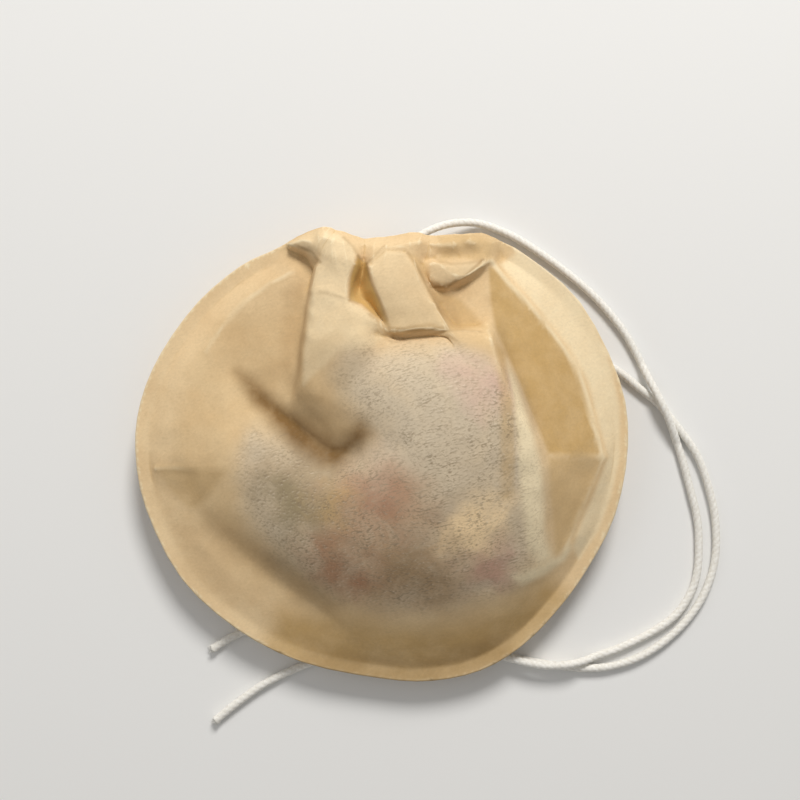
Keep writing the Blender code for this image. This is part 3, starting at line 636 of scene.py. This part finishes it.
def outer_layer(node, upward):
    """The outer face of a panel's solid, as an open sheet whose faces point out of the bag."""
    bm = bmesh.new()
    bm.from_mesh(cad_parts[node].data)
    bmesh.ops.remove_doubles(bm, verts=bm.verts[:], dist=0.002 * MM)
    low, high = 0.6 * PAPER_THICKNESS, 1.6 * PAPER_THICKNESS
    edge_faces = [face for face in bm.faces if any(low < edge.calc_length() < high for edge in face.edges)]
    bmesh.ops.delete(bm, geom=edge_faces, context="FACES_ONLY")
    islands = []
    left = set(bm.faces)
    while left:
        group = [left.pop()]
        for face in group:
            for edge in face.edges:
                for other in edge.link_faces:
                    if other in left:
                        left.discard(other)
                        group.append(other)
        islands.append(group)
    islands.sort(key=len, reverse=True)
    sheets = islands[:2]
    outward = [sum(face.normal.z * face.calc_area() for face in group) * upward for group in sheets]
    keep = set(sheets[0] if outward[0] > outward[1] else sheets[1])
    bmesh.ops.delete(bm, geom=[face for face in bm.faces if face not in keep], context="FACES")
    open_edges = [edge for edge in bm.edges if edge.is_boundary]
    for face in bmesh.ops.holes_fill(bm, edges=open_edges, sides=SMALL_HOLE)["faces"]:
        if not face.edges[0].is_contiguous:
            face.normal_flip()
    return bm


# Painted warm shade in folds, valleys and towards the bottom (over 0), and paper paler where it lies in
# layers, with painted light on ridges and the right margin (under 0): amount, softness in millimetres, drawn
# outline
SHADE_AND_LIGHT_TONES = {
    "pocket": (0.95, 0.4, [
        (-3.7, 30.9), (-2.3, 30.0), (-1.4, 26.5), (0.0, 23.4), (1.3, 20.0), (-0.8, 21.4), (-2.9, 23.4),
        (-4.8, 23.8), (-4.9, 26.5), (-4.3, 28.8),
    ]),
    "right of the pleat": (0.45, 0.6, [
        (7.3, 25.9), (10.0, 25.4), (12.5, 24.1), (14.9, 21.3), (16.2, 19.6), (10.6, 19.3), (8.8, 22.4),
    ]),
    "above the leaf": (0.45, 0.8, [
        (8.9, 34.2), (13.8, 35.4), (17.9, 33.5), (17.2, 30.8), (15.4, 30.1), (12.3, 30.8), (9.2, 30.1),
    ]),
    "pleat to leaf": (0.40, 0.6, [(3.9, 31.7), (6.9, 29.9), (7.4, 27.9), (6.8, 26.7), (4.8, 29.9)]),
    "leaf": (-0.30, 0.4, [
        (7.6, 29.9), (10.3, 29.6), (13.1, 30.2), (16.2, 30.5), (13.7, 28.4), (10.6, 26.4), (8.6, 27.0),
        (7.4, 28.2),
    ]),
    "left lobe": (-0.50, 0.5, [
        (-8.8, 34.8), (-6.2, 34.2), (-4.5, 32.7), (-3.6, 30.5), (-4.7, 27.8), (-5.0, 24.3), (-2.9, 22.9),
        (-0.9, 20.8), (0.5, 18.6), (-1.3, 16.6), (-6.2, 16.0), (-11.9, 10.8), (-11.7, 16.3), (-10.9, 24.0),
        (-9.6, 29.8),
    ]),
    "left flap": (-0.25, 0.5, [
        (-14.1, 33.4), (-11.8, 34.8), (-9.2, 35.4), (-7.6, 35.1), (-9.3, 32.6), (-10.1, 30.4),
        (-12.1, 32.2),
    ]),
    "central pleat": (-0.25, 0.4, [
        (-1.9, 29.7), (0.7, 31.6), (3.7, 31.3), (5.2, 29.0), (7.2, 24.9), (9.9, 19.5), (7.5, 20.4),
        (4.5, 20.1), (1.6, 19.8), (0.1, 23.4), (-1.2, 26.5),
    ]),
    "right facet": (0.84, 0.4, [
        (16.8, 29.3), (17.9, 29.3), (22.6, 24.3), (28.9, 16.5), (31.4, 11.5), (33.2, 4.8), (34.7, 0.1),
        (31.1, 0.1), (25.6, 0.6), (24.2, 4.0), (22.0, 9.5), (19.8, 14.9), (17.6, 19.6), (17.0, 24.3),
    ]),
    "low right facet": (0.35, 0.5, [
        (25.6, -0.1), (31.2, -0.3), (34.8, -0.4), (32.8, -5.4), (30.9, -9.8), (29.0, -14.9), (27.4, -15.8),
        (26.8, -10.1), (25.9, -5.4),
    ]),
    "right margin": (-0.75, 0.5, [
        (18.8, 30.0), (23.3, 24.9), (29.6, 17.0), (32.5, 11.9), (34.4, 4.7), (35.8, -0.2), (33.7, -5.9),
        (31.8, -10.4), (30.3, -14.8), (31.5, -16.7), (34.7, -11.9), (36.6, -6.4), (37.9, 0.0), (37.9, 7.1),
        (36.6, 13.5), (34.4, 19.0), (31.2, 24.6), (26.8, 29.0), (22.0, 32.5),
    ]),
    "right edge of the belly": (-1.0, 0.8, [
        (19.1, 14.8), (21.0, 9.5), (22.8, 4.1), (24.3, -2.0), (25.2, -12.7), (26.8, -16.0), (24.3, -16.7),
        (22.5, -13.4), (21.3, -6.6), (20.5, 1.1), (20.1, 8.7),
    ]),
    "stripe beside it": (0.45, 0.6, [
        (17.6, 17.0), (18.8, 16.2), (19.9, 8.7), (20.2, 1.2), (19.9, -6.1), (18.0, -6.1), (17.9, 1.2),
        (17.7, 8.7),
    ]),
    "low right ridge": (-0.95, 0.7, [
        (20.5, -18.8), (23.4, -17.4), (28.1, -16.0), (30.0, -14.5), (29.0, -16.7), (25.7, -18.9),
        (21.8, -19.9),
    ]),
    "bottom": (0.75, 2.5, [
        (-16.0, -25.0), (-6.5, -26.0), (3.0, -27.5), (12.4, -27.0), (20.4, -24.0), (26.0, -20.0),
        (31.0, -23.0), (22.0, -33.0), (8.0, -39.0), (-8.0, -39.0), (-20.0, -33.0),
    ]),
    "left facet": (0.30, 0.6, [
        (-36.2, -1.7), (-23.9, -2.0), (-25.2, -3.9), (-27.8, -7.1), (-29.9, -9.0), (-32.1, -7.1),
    ]),
}

# Where the paper lies in soft shade: amount, softness, drawn outline
SHADES = {
    "diagonal valley": (1.0, 1.8, [
        (-22.5, 13.0), (-20.0, 12.1), (-16.9, 9.3), (-13.8, 6.8), (-10.7, 4.4), (-6.7, 2.5), (-3.0, 4.8),
        (-1.4, 3.7), (-4.8, 0.0), (-7.0, -1.6), (-9.2, -1.4), (-12.8, 0.8), (-16.3, 4.4), (-20.0, 8.4),
    ]),
    "under the left lobe": (0.30, 1.2, [
        (-12.3, 10.1), (-7.7, 9.0), (-1.6, 6.6), (-1.0, 4.6), (-7.7, 3.2), (-11.3, 5.6), (-13.5, 8.4),
    ]),
    "left facet": (0.12, 0.8, [(-26.5, -1.9), (-23.9, -2.0), (-25.2, -3.9), (-27.8, -7.1), (-30.5, -9.0)]),
    "low left valley": (0.42, 2.2, [
        (-27.7, -9.5), (-23.7, -11.6), (-18.7, -13.4), (-14.3, -15.6), (-9.6, -19.6), (-5.5, -23.3),
        (-8.0, -24.7), (-12.8, -22.4), (-16.7, -19.6), (-20.6, -16.7), (-24.5, -14.1), (-27.2, -11.4),
    ]),
    "low margin": (0.04, 2.5, [
        (-13.2, -24.9), (-6.5, -27.4), (3.0, -29.6), (12.4, -29.3), (20.4, -24.9), (25.9, -21.1),
        (28.6, -22.6), (21.9, -29.5), (14.0, -33.3), (3.0, -33.7), (-6.5, -31.7), (-15.1, -26.4),
    ]),
    "low rim": (0.25, 1.5, [
        (-12.0, -31.0), (4.0, -33.0), (20.0, -28.0), (22.0, -36.0), (2.0, -40.0), (-16.0, -36.0),
    ]),
    "low lobe": (0.30, 2.0, [(-11.5, 18.0), (0.0, 18.0), (-1.0, 14.0), (-6.0, 9.5), (-12.0, 9.5)]),
    "beside the lobe": (0.14, 1.0, [(-15.5, 26.0), (-12.0, 28.0), (-12.4, 9.5), (-15.0, 9.0)]),
    "central pleat": (0.06, 0.5, [(-1.9, 29.7), (3.7, 31.3), (9.9, 19.5), (1.6, 19.8)]),
    "upper left": (0.22, 3.0, [
        (-15.0, 29.0), (-12.5, 26.0), (-12.8, 10.0), (-19.0, 14.0), (-26.0, 14.0), (-24.0, 21.0),
        (-20.0, 26.0),
    ]),
    "beside the belly": (0.32, 1.6, [
        (16.8, 24.1), (19.4, 17.1), (21.7, 11.0), (24.3, 4.9), (23.1, 4.4), (20.8, 9.5), (18.5, 14.5),
        (16.8, 19.8),
    ]),
    "mouth": (0.07, 2.0, [
        (-14.0, 37.0), (-14.0, 24.0), (-6.0, 20.0), (12.0, 20.0), (18.0, 24.0), (19.0, 37.0),
    ]),
    "leaf": (0.16, 0.5, [(7.6, 29.9), (13.1, 30.2), (16.2, 30.5), (13.7, 28.4), (10.6, 26.4), (7.4, 28.2)]),
    "beside the pleat": (0.17, 0.6, [
        (7.6, 25.3), (9.9, 25.3), (11.7, 22.8), (12.5, 19.5), (10.6, 19.3), (8.8, 22.4),
    ]),
    "under the leaf": (0.25, 0.3, [(6.8, 27.0), (8.6, 26.9), (10.7, 26.4), (10.0, 25.8), (7.9, 26.1)]),
    "lip": (0.12, 0.4, [
        (1.6, 19.5), (4.5, 19.8), (7.5, 20.1), (10.1, 19.2), (7.5, 18.3), (3.0, 17.7), (0.8, 18.4),
    ]),
}

# Thin lines of painted shade in the bottom of folds: amount, half width in millimetres, drawn line
FOLD_SHADE_LINES = {
    "flap": (0.45, 0.35, [(-14.2, 33.3), (-12.4, 32.5), (-10.7, 31.7), (-9.3, 29.9)]),
    "right side of the lobe": (0.30, 0.4, [
        (-5.8, 33.9), (-4.4, 32.5), (-3.5, 31.0), (-3.3, 28.9), (-4.4, 26.1), (-4.8, 24.0),
    ]),
    "over the pocket": (0.30, 0.35, [(-3.5, 31.0), (-2.2, 29.8), (-1.3, 30.7), (0.5, 32.5)]),
    "left side of the pleat": (0.35, 0.4, [(-2.2, 29.8), (-1.8, 27.6), (-0.3, 24.3), (1.0, 20.9)]),
    "right side of the pleat": (0.35, 0.4, [
        (4.2, 31.3), (5.7, 28.9), (6.9, 26.4), (9.1, 22.1), (10.3, 19.4),
    ]),
    "low edge of the leaf": (0.45, 0.35, [(15.8, 30.4), (13.1, 27.9), (10.3, 26.2), (7.6, 26.1)]),
    "top edge of the leaf": (0.20, 0.4, [(7.9, 31.1), (9.1, 30.2), (10.9, 29.7), (13.7, 29.9), (15.9, 30.5)]),
    "lip": (0.30, 0.35, [(-1.8, 21.8), (0.7, 19.8), (4.5, 19.2), (9.9, 19.6)]),
    "low lip": (0.22, 0.4, [(-0.7, 19.3), (1.7, 17.5), (6.0, 18.1), (9.9, 19.2)]),
    "hem of the lobe": (0.22, 0.35, [(-9.2, 25.2), (-5.7, 24.3), (-3.6, 23.4)]),
    "top edge of the belly": (0.25, 0.35, [(10.5, 19.2), (13.0, 19.2), (15.4, 19.0)]),
}

# The tea lies against the paper inside this drawn outline.
TEA_REACH = [
    (-8.5, 21.0), (0.0, 16.8), (9.1, 18.0), (17.0, 18.2), (21.0, 12.5), (23.1, 4.1), (24.6, -5.0),
    (25.6, -15.0), (21.6, -20.8), (14.5, -23.0), (3.0, -24.2), (-7.7, -22.2), (-15.7, -17.6),
    (-20.3, -11.2), (-22.7, -3.5), (-21.5, 4.9), (-12.3, 2.6), (-7.7, -0.2), (-1.9, 3.5), (-6.0, 8.5),
]
TEA_REACH_SOFTNESS = 3.5

# Where the solids' hard edges are rounded off: share, softness, drawn outline
ROUNDED = {
    "mouth": (0.08, 1.0, [
        (-14.0, 36.0), (-14.0, 24.0), (-6.0, 15.0), (13.0, 15.0), (19.0, 24.0), (20.0, 36.0),
    ]),
    "above the leaf": (0.50, 0.5, [
        (8.4, 32.0), (18.0, 32.0), (17.4, 30.7), (15.4, 30.4), (12.3, 30.5), (8.8, 30.2),
    ]),
    "hem over the leaf": (0.22, 0.5, [(8.0, 34.6), (13.8, 35.6), (18.6, 34.2), (18.0, 32.0), (8.4, 32.0)]),
    "corner of the leaf": (1.0, 0.6, [
        (5.8, 29.4), (8.6, 29.4), (11.4, 27.0), (11.6, 25.0), (8.0, 23.8), (6.6, 25.0),
    ]),
    "pocket": (1.0, 0.5, [
        (-3.7, 30.9), (-2.3, 30.0), (0.0, 23.4), (1.3, 19.6), (-4.8, 23.0), (-4.9, 27.0),
    ]),
    "wall of the lobe": (0.40, 0.6, [
        (-13.7, 25.6), (-10.6, 25.6), (-10.8, 8.5), (-12.5, 6.5), (-13.7, 7.7),
    ]),
    "corner of the belly": (0.80, 0.6, [
        (15.5, 18.8), (19.5, 18.5), (20.0, 22.0), (19.0, 25.0), (16.0, 24.0),
    ]),
    "left facet": (0.60, 1.0, [(-36.2, -0.5), (-23.0, -0.5), (-25.2, -3.9), (-29.9, -9.0), (-33.1, -7.1)]),
}

# Small folds that the solids leave out: height and half width in millimetres, drawn line
SMALL_FOLDS = {
    "hem of the left lobe": (0.10, 0.8, [(-10.6, 25.5), (-8.3, 25.6), (-5.1, 24.1)]),
    "left flap": (-0.22, 0.9, [(-7.2, 35.1), (-8.9, 32.5), (-9.9, 30.0)]),
    "lip": (-0.12, 0.5, [(2.0, 18.5), (6.0, 19.0), (9.2, 19.6)]),
    "above the lip": (-0.10, 0.5, [(2.6, 19.3), (6.0, 19.7), (8.4, 20.0)]),
    "top of the pleat": (-0.15, 0.6, [(-1.5, 29.8), (0.8, 31.8), (3.6, 31.6)]),
    "right margin": (0.26, 0.9, [
        (17.3, 30.3), (19.8, 27.1), (22.6, 24.3), (26.1, 20.3), (28.9, 16.5), (30.4, 14.3), (31.7, 11.2),
        (32.6, 7.9), (33.4, 4.8), (34.8, -0.2),
    ]),
    "low right margin": (0.16, 0.8, [(35.0, -0.3), (32.8, -5.4), (30.9, -9.8), (29.0, -14.9)]),
    "low right ridge": (0.15, 1.8, [(20.5, -18.9), (24.5, -18.4), (27.6, -16.9), (29.6, -15.0)]),
    "foot of the right facet": (0.12, 0.6, [(35.0, -0.3), (30.4, 0.1), (25.9, 0.4)]),
    "upper left": (0.20, 0.7, [(-14.0, 28.8), (-17.4, 27.0), (-21.3, 24.4), (-24.9, 20.5), (-27.3, 16.2)]),
    "left facet": (0.15, 0.6, [(-35.7, -2.2), (-29.8, -1.9), (-23.4, -1.7)]),
    "right edge of the belly": (0.15, 0.7, [
        (16.3, 19.3), (17.5, 14.4), (19.4, 9.4), (21.1, 4.5), (22.0, -1.8), (22.9, -9.3), (23.9, -13.5),
    ]),
}


# Edges of a hole that is closed, halvings of the solids' faces, share and passes of rounding
SMALL_HOLE = 12
HALVINGS = 2
ROUNDING_SHARE = 0.6
ROUNDING_PASSES = 30
BEND_PASSES = 2

# From where a fold is kept sharp, and fully sharp, in degrees; from what bend per millimetre crests get
# painted highlight and creases painted warm shade
FOLD_BEND = 12.0
SHARP_BEND = 55.0
CREST_BEND = 0.12

# Crumple of the paper: height, size and seed; lumps of the tea and waves of the rim: height and size
WIDE_CRUMPLE = (0.13 * MM, 11.0 * MM, 3.1)
FINE_CRUMPLE = (0.05 * MM, 3.6 * MM, 7.7)
HEM_PLEATS = (0.04 * MM, 4.0 * MM, 1.3)
TEA_LUMPS = (0.16 * MM, 3.2 * MM)
RIM_WAVE = (0.22 * MM, 11.0 * MM)
RIM_PINCH = 0.10 * MM

# Where the tea counts as touching the paper, how far round a dip is measured, and the marks in order
TOUCH_NEAR = 1.0 * MM
TOUCH_FAR = 4.2 * MM
DIP_REACH = 5.0 * MM
MARKS = ("contact", "hollow_shade", "seal", "tone", "crest_highlight", "crease_shade", "shade")


def drawn_places(bm):
    """Where each point lies in the drawing, across and up in millimetres."""
    flat = numpy.array([corner.co[:2] for corner in bm.verts]) / MM
    return flat - numpy.array((0.0, DRAWN_SHIFT))


def distance_to(places, line):
    nearest = numpy.full(len(places), numpy.inf)
    for start, end in zip(line, line[1:]):
        along = numpy.subtract(end, start)
        share = numpy.clip((places - start) @ along / (along @ along), 0.0, 1.0)
        gap = numpy.linalg.norm(places - start - share[:, None] * along, axis=1)
        nearest = numpy.minimum(nearest, gap)
    return nearest


def is_inside(places, outline):
    within = numpy.zeros(len(places), dtype=bool)
    for (start_x, start_y), (end_x, end_y) in zip(outline, outline[1:] + outline[:1]):
        if start_y != end_y:
            passed = (start_y > places[:, 1]) != (end_y > places[:, 1])
            meeting = start_x + (places[:, 1] - start_y) * (end_x - start_x) / (end_y - start_y)
            within ^= passed & (places[:, 0] < meeting)
    return within


def share_within(places, outline, soft):
    """1 inside an outline and 0 outside it, with a soft edge."""
    depth = distance_to(places, outline + outline[:1])
    depth = numpy.where(is_inside(places, outline), depth, -depth)
    share = numpy.clip(0.5 + depth / (2.0 * soft), 0.0, 1.0)
    return share * share * (3.0 - 2.0 * share)


def painted(places, areas):
    total = numpy.zeros(len(places))
    for amount, soft, outline in areas.values():
        total += amount * share_within(places, outline, soft)
    return numpy.clip(total, -1.0, 1.0)


def painted_lines(places, lines):
    total = numpy.zeros(len(places))
    for amount, half_width, line in lines.values():
        total += amount * numpy.clip(1.0 - distance_to(places, line) / half_width, 0.0, 1.0)
    return total


def neighbours(bm):
    """The pairs of joined points, both ways round, and how many each point has."""
    bm.verts.index_update()
    ends = numpy.array([[corner.index for corner in edge.verts] for edge in bm.edges])
    ends = numpy.concatenate((ends, ends[:, ::-1]))
    return ends, numpy.bincount(ends[:, 0], minlength=len(bm.verts))


def rounded_off(bm):
    """Moves points towards the middle of their neighbours, where the paper's edges are rounded."""
    ends, count = neighbours(bm)
    share = ROUNDING_SHARE * painted(drawn_places(bm), ROUNDED)[:, None]
    places = numpy.array([corner.co[:] for corner in bm.verts])
    for passing in range(ROUNDING_PASSES):
        sums = [numpy.bincount(ends[:, 0], places[ends[:, 1], axis], len(places)) for axis in range(3)]
        places += share * (numpy.stack(sums, axis=1) / count[:, None] - places)
    for corner, place in zip(bm.verts, places):
        corner.co = place


def bends(bm):
    """How sharply the sheet bends at each point, per millimetre: over 0 on crests, under 0 in hollows."""
    bm.normal_update()
    places = numpy.array([corner.co[:] for corner in bm.verts]) / MM
    normals = numpy.array([corner.normal[:] for corner in bm.verts])
    ends, count = neighbours(bm)
    steps = places[ends[:, 1]] - places[ends[:, 0]]
    rise = -(steps * normals[ends[:, 0]]).sum(axis=1)
    bend = numpy.bincount(ends[:, 0], rise / (steps**2).sum(axis=1), len(places)) / count
    for smoothing in range(BEND_PASSES):
        around = numpy.bincount(ends[:, 0], bend[ends[:, 1]], len(places)) / count
        bend = 0.5 * bend + 0.5 * around
    return bend


def quads_and_creases(bm):
    """Joins the flat pairs of triangles and marks the folds, so that subdivision keeps them."""
    bmesh.ops.join_triangles(
        bm,
        faces=bm.faces[:],
        angle_face_threshold=math.radians(14.0),
        angle_shape_threshold=math.radians(50.0),
    )
    crease = bm.edges.layers.float.new("crease_edge")
    for edge in bm.edges:
        if len(edge.link_faces) == 2:
            bend = math.degrees(edge.calc_face_angle(0.0))
            edge[crease] = fade(bend, FOLD_BEND, SHARP_BEND)


def subdivided(bm, levels):
    """The same surface with each face halved several times, rounded except at its marked folds."""
    mesh = bpy.data.meshes.new("draft")
    bm.to_mesh(mesh)
    bm.free()
    obj = link("draft", mesh)
    smooth = obj.modifiers.new("smooth", "SUBSURF")
    smooth.levels = levels
    smooth.render_levels = levels
    bpy.context.view_layer.update()
    graph = bpy.context.evaluated_depsgraph_get()
    fine = bmesh.new()
    fine.from_mesh(obj.evaluated_get(graph).to_mesh())
    bpy.data.objects.remove(obj, do_unlink=True)
    return fine


def denser_mouth(bm):
    """Halves the edges of the gathered folds, so that they show crisply."""
    folded = [face for face in bm.faces if gathered(face.calc_center_median()) and face.normal.z > 0.15]
    edges = {edge for face in folded for edge in face.edges}
    bmesh.ops.subdivide_edges(bm, edges=list(edges), cuts=1, use_grid_fill=True)


def gathered(point):
    """Whether a place is among the folds of the mouth and just under them."""
    return point.y > 17.5 * MM and -12.5 * MM < point.x < 17.5 * MM


def in_mouth(point):
    """Whether a place is at the mouth's hem, where there is no sealed rim."""
    return point.y > 27.0 * MM and -18.5 * MM < point.x < 20.5 * MM


def rim_tree(bm):
    """A search tree of the sheet's sealed edge, seen flat."""
    rim = [corner.co for corner in bm.verts if corner.is_boundary and not in_mouth(corner.co)]
    tree = KDTree(len(rim))
    for i, place in enumerate(rim):
        tree.insert(Vector((place.x, place.y, 0.0)), i)
    tree.balance()
    return tree


def ridges(place, size, seed):
    """Paper crumple: straight-sided ridges and valleys about size apart, from -1 to 1."""
    scaled = place / size + Vector((seed, seed * 0.7, -seed))
    return 1.0 - 3.2 * abs(noise.noise(scaled))


def fade(value, low, high):
    """0 below the low value, 1 above the high one, and a smooth rise between them."""
    share = min(max((value - low) / (high - low), 0.0), 1.0)
    return share * share * (3.0 - 2.0 * share)


def crumple_move(corner, to_rim, side, small_fold):
    """How far a point moves: crumples on the margin, tea lumps on the belly, a waved rim."""
    place = corner.co
    inside = fade(to_rim, 0.6 * SEAL_WIDTH, 3.0 * SEAL_WIDTH)
    mouth = fade(place.y, 24.0 * MM, 33.0 * MM)
    belly = fade(abs(place.z - 5.0 * MM), 4.0 * MM, 11.0 * MM)
    resting = fade(place.z, 0.2 * MM, 2.0 * MM)
    height, size, seed = WIDE_CRUMPLE
    fold = height * ridges(place, size, seed + side) * (1.0 - 0.7 * belly)
    height, size, seed = FINE_CRUMPLE
    fold += height * ridges(place, size, seed + side)
    height, size = TEA_LUMPS
    lumps = height * noise.noise(place / size) * belly
    height, size, seed = HEM_PLEATS
    pleat = height * ridges(Vector((place.x * 2.4, place.y * 0.5, place.z)), size, seed) * mouth
    crumpled = (fold + lumps) * inside * (1.0 - 0.55 * mouth) * resting
    along_normal = crumpled + pleat * inside + small_fold * MM
    height, size = RIM_WAVE
    flat = Vector((place.x, place.y, 0.0))
    wave = height * noise.noise(flat / size) * (1.0 - inside) * (1.0 - mouth)
    pinch = -side * RIM_PINCH * (1.0 - inside) * (1.0 - mouth)
    return corner.normal * along_normal + Vector((0.0, 0.0, wave + pinch))


def crumple(bm, side):
    rim = rim_tree(bm)
    bm.normal_update()
    small_folds = painted_lines(drawn_places(bm), SMALL_FOLDS) if side > 0 else [0.0] * len(bm.verts)
    moves = []
    for corner, small_fold in zip(bm.verts, small_folds):
        to_rim = rim.find(Vector((corner.co.x, corner.co.y, 0.0)))[2]
        moves.append(crumple_move(corner, to_rim, side, small_fold))
    for corner, move in zip(bm.verts, moves):
        corner.co += move
        corner.co.z = max(corner.co.z, PAPER_THICKNESS * 0.1)


def tree_of(node):
    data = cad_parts[node].data
    faces = [face.vertices for face in data.polygons]
    return BVHTree.FromPolygons([corner.co for corner in data.vertices], faces)


def sparse_points(bm):
    """A search tree of every seventh point, for the mean height around a place."""
    coarse = list(bm.verts)[::7]
    tree = KDTree(len(coarse))
    for i, corner in enumerate(coarse):
        tree.insert(corner.co, i)
    tree.balance()
    return tree


def dip_at(place, points, side):
    """How far a place lies behind the paper around it."""
    around = [co.z for co, _, _ in points.find_range(place, DIP_REACH)] or [place.z]
    return side * (sum(around) / len(around) - place.z)


def room_behind(place, other, side):
    """How far behind a place the other sheet lies."""
    inward = Vector((0.0, 0.0, -side))
    met = other.ray_cast(place + inward * 2.0 * PAPER_THICKNESS, inward)
    return met[3] if met[0] else 0.0


def emptiness(place, touching, behind, dip):
    """How empty the bag is behind a place, and how far it dips there, for painted warm shade that makes the
    paper warmer and darker there.
    """
    mouth = fade(place.y, 20.0 * MM, 26.0 * MM)
    empty = fade(behind, 2.0 * MM, 5.5 * MM) * (1.0 - touching) * (1.0 - mouth)
    return max(0.75 * empty, fade(dip, 0.25 * MM, 1.7 * MM) * (1.0 - 0.5 * touching))


def add_marks(bm, side):
    """What the paper's material reads: the tea's nearness, painted warm shade in hollows and creases, the
    seal, painted highlight on crests and folds, and painted tones of shade and light.
    """
    contact, hollow_shade, seal, tone, crest_highlight, crease_shade, shade = [bm.verts.layers.float.new(name) for name in MARKS]
    places = drawn_places(bm)
    tones = painted(places, SHADE_AND_LIGHT_TONES)
    # Painted soft shade, with thin lines of painted shade in the folds
    shades = painted(places, SHADES) + painted_lines(places, FOLD_SHADE_LINES)
    folds = painted_lines(places, SMALL_FOLDS)
    reach = share_within(places, TEA_REACH, TEA_REACH_SOFTNESS)
    heap = tree_of("tea_filling")
    other = tree_of("back_panel" if side > 0 else "front_panel")
    rim = rim_tree(bm)
    points = sparse_points(bm)
    for i, (corner, bend) in enumerate(zip(bm.verts, bends(bm))):
        place = corner.co
        # Painted highlight on crests and painted warm shade in creases
        corner[crest_highlight] = fade(bend, CREST_BEND, 4.0 * CREST_BEND)
        corner[crease_shade] = fade(-bend, CREST_BEND, 4.0 * CREST_BEND)
        corner[contact] = 1.0 - fade(heap.find_nearest(place)[3], TOUCH_NEAR, TOUCH_FAR)
        if side > 0:
            # The painted warm shade and painted light of the tones
            corner[tone] = tones[i]
            corner[shade] = shades[i]
            corner[contact] *= reach[i]
            # Painted highlight also along the small folds' crests, weaker where the painted warm shade lies
            corner[crest_highlight] = max(corner[crest_highlight] * (1.0 - max(tones[i], 0.0)), fade(folds[i], 0.06, 0.26))
        to_rim = rim.find(Vector((place.x, place.y, 0.0)))[2]
        corner[seal] = 1.0 - fade(to_rim, 0.90 * SEAL_WIDTH, 1.05 * SEAL_WIDTH)
        behind = room_behind(place, other, side)
        corner[hollow_shade] = emptiness(place, corner[contact], behind, dip_at(place, points, side))


def paper_panel(node, side, paper):
    """One of the two sheets, from the outer face of its solid."""
    sheet = outer_layer(node, side)
    quads_and_creases(sheet)
    fine = subdivided(sheet, HALVINGS)
    if side > 0:
        rounded_off(fine)
        denser_mouth(fine)
    crumple(fine, side)
    add_marks(fine, side)
    obj = mesh_object(node + "_paper", fine, paper)
    body = obj.modifiers.new("paper", "SOLIDIFY")
    body.thickness = PAPER_THICKNESS
    body.offset = -1.0
    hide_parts(node)
    return obj


def make_filling():
    """The heap of dried petals and leaves inside the bag."""
    bm = bmesh.new()
    bm.from_mesh(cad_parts["tea_filling"].data)
    bmesh.ops.remove_doubles(bm, verts=bm.verts[:], dist=0.002 * MM)
    fine = subdivided(bm, HALVINGS)
    fine.normal_update()
    moves = []
    for corner in fine.verts:
        lump = 0.5 + 0.5 * noise.noise(corner.co / (2.1 * MM))
        flake = abs(noise.noise(corner.co / (0.9 * MM)))
        moves.append(-corner.normal * (0.75 * MM * lump + 0.35 * MM * flake))
    for corner, move in zip(fine.verts, moves):
        corner.co += move
    obj = mesh_object("dried_flower_heap", fine, petals_material())
    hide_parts("tea_filling")


make_camera()
make_cords()
make_studio()
make_floor()
paper_sheets = paper_material()
paper_panel("front_panel", 1, paper_sheets)
paper_panel("back_panel", -1, paper_sheets)
make_filling()
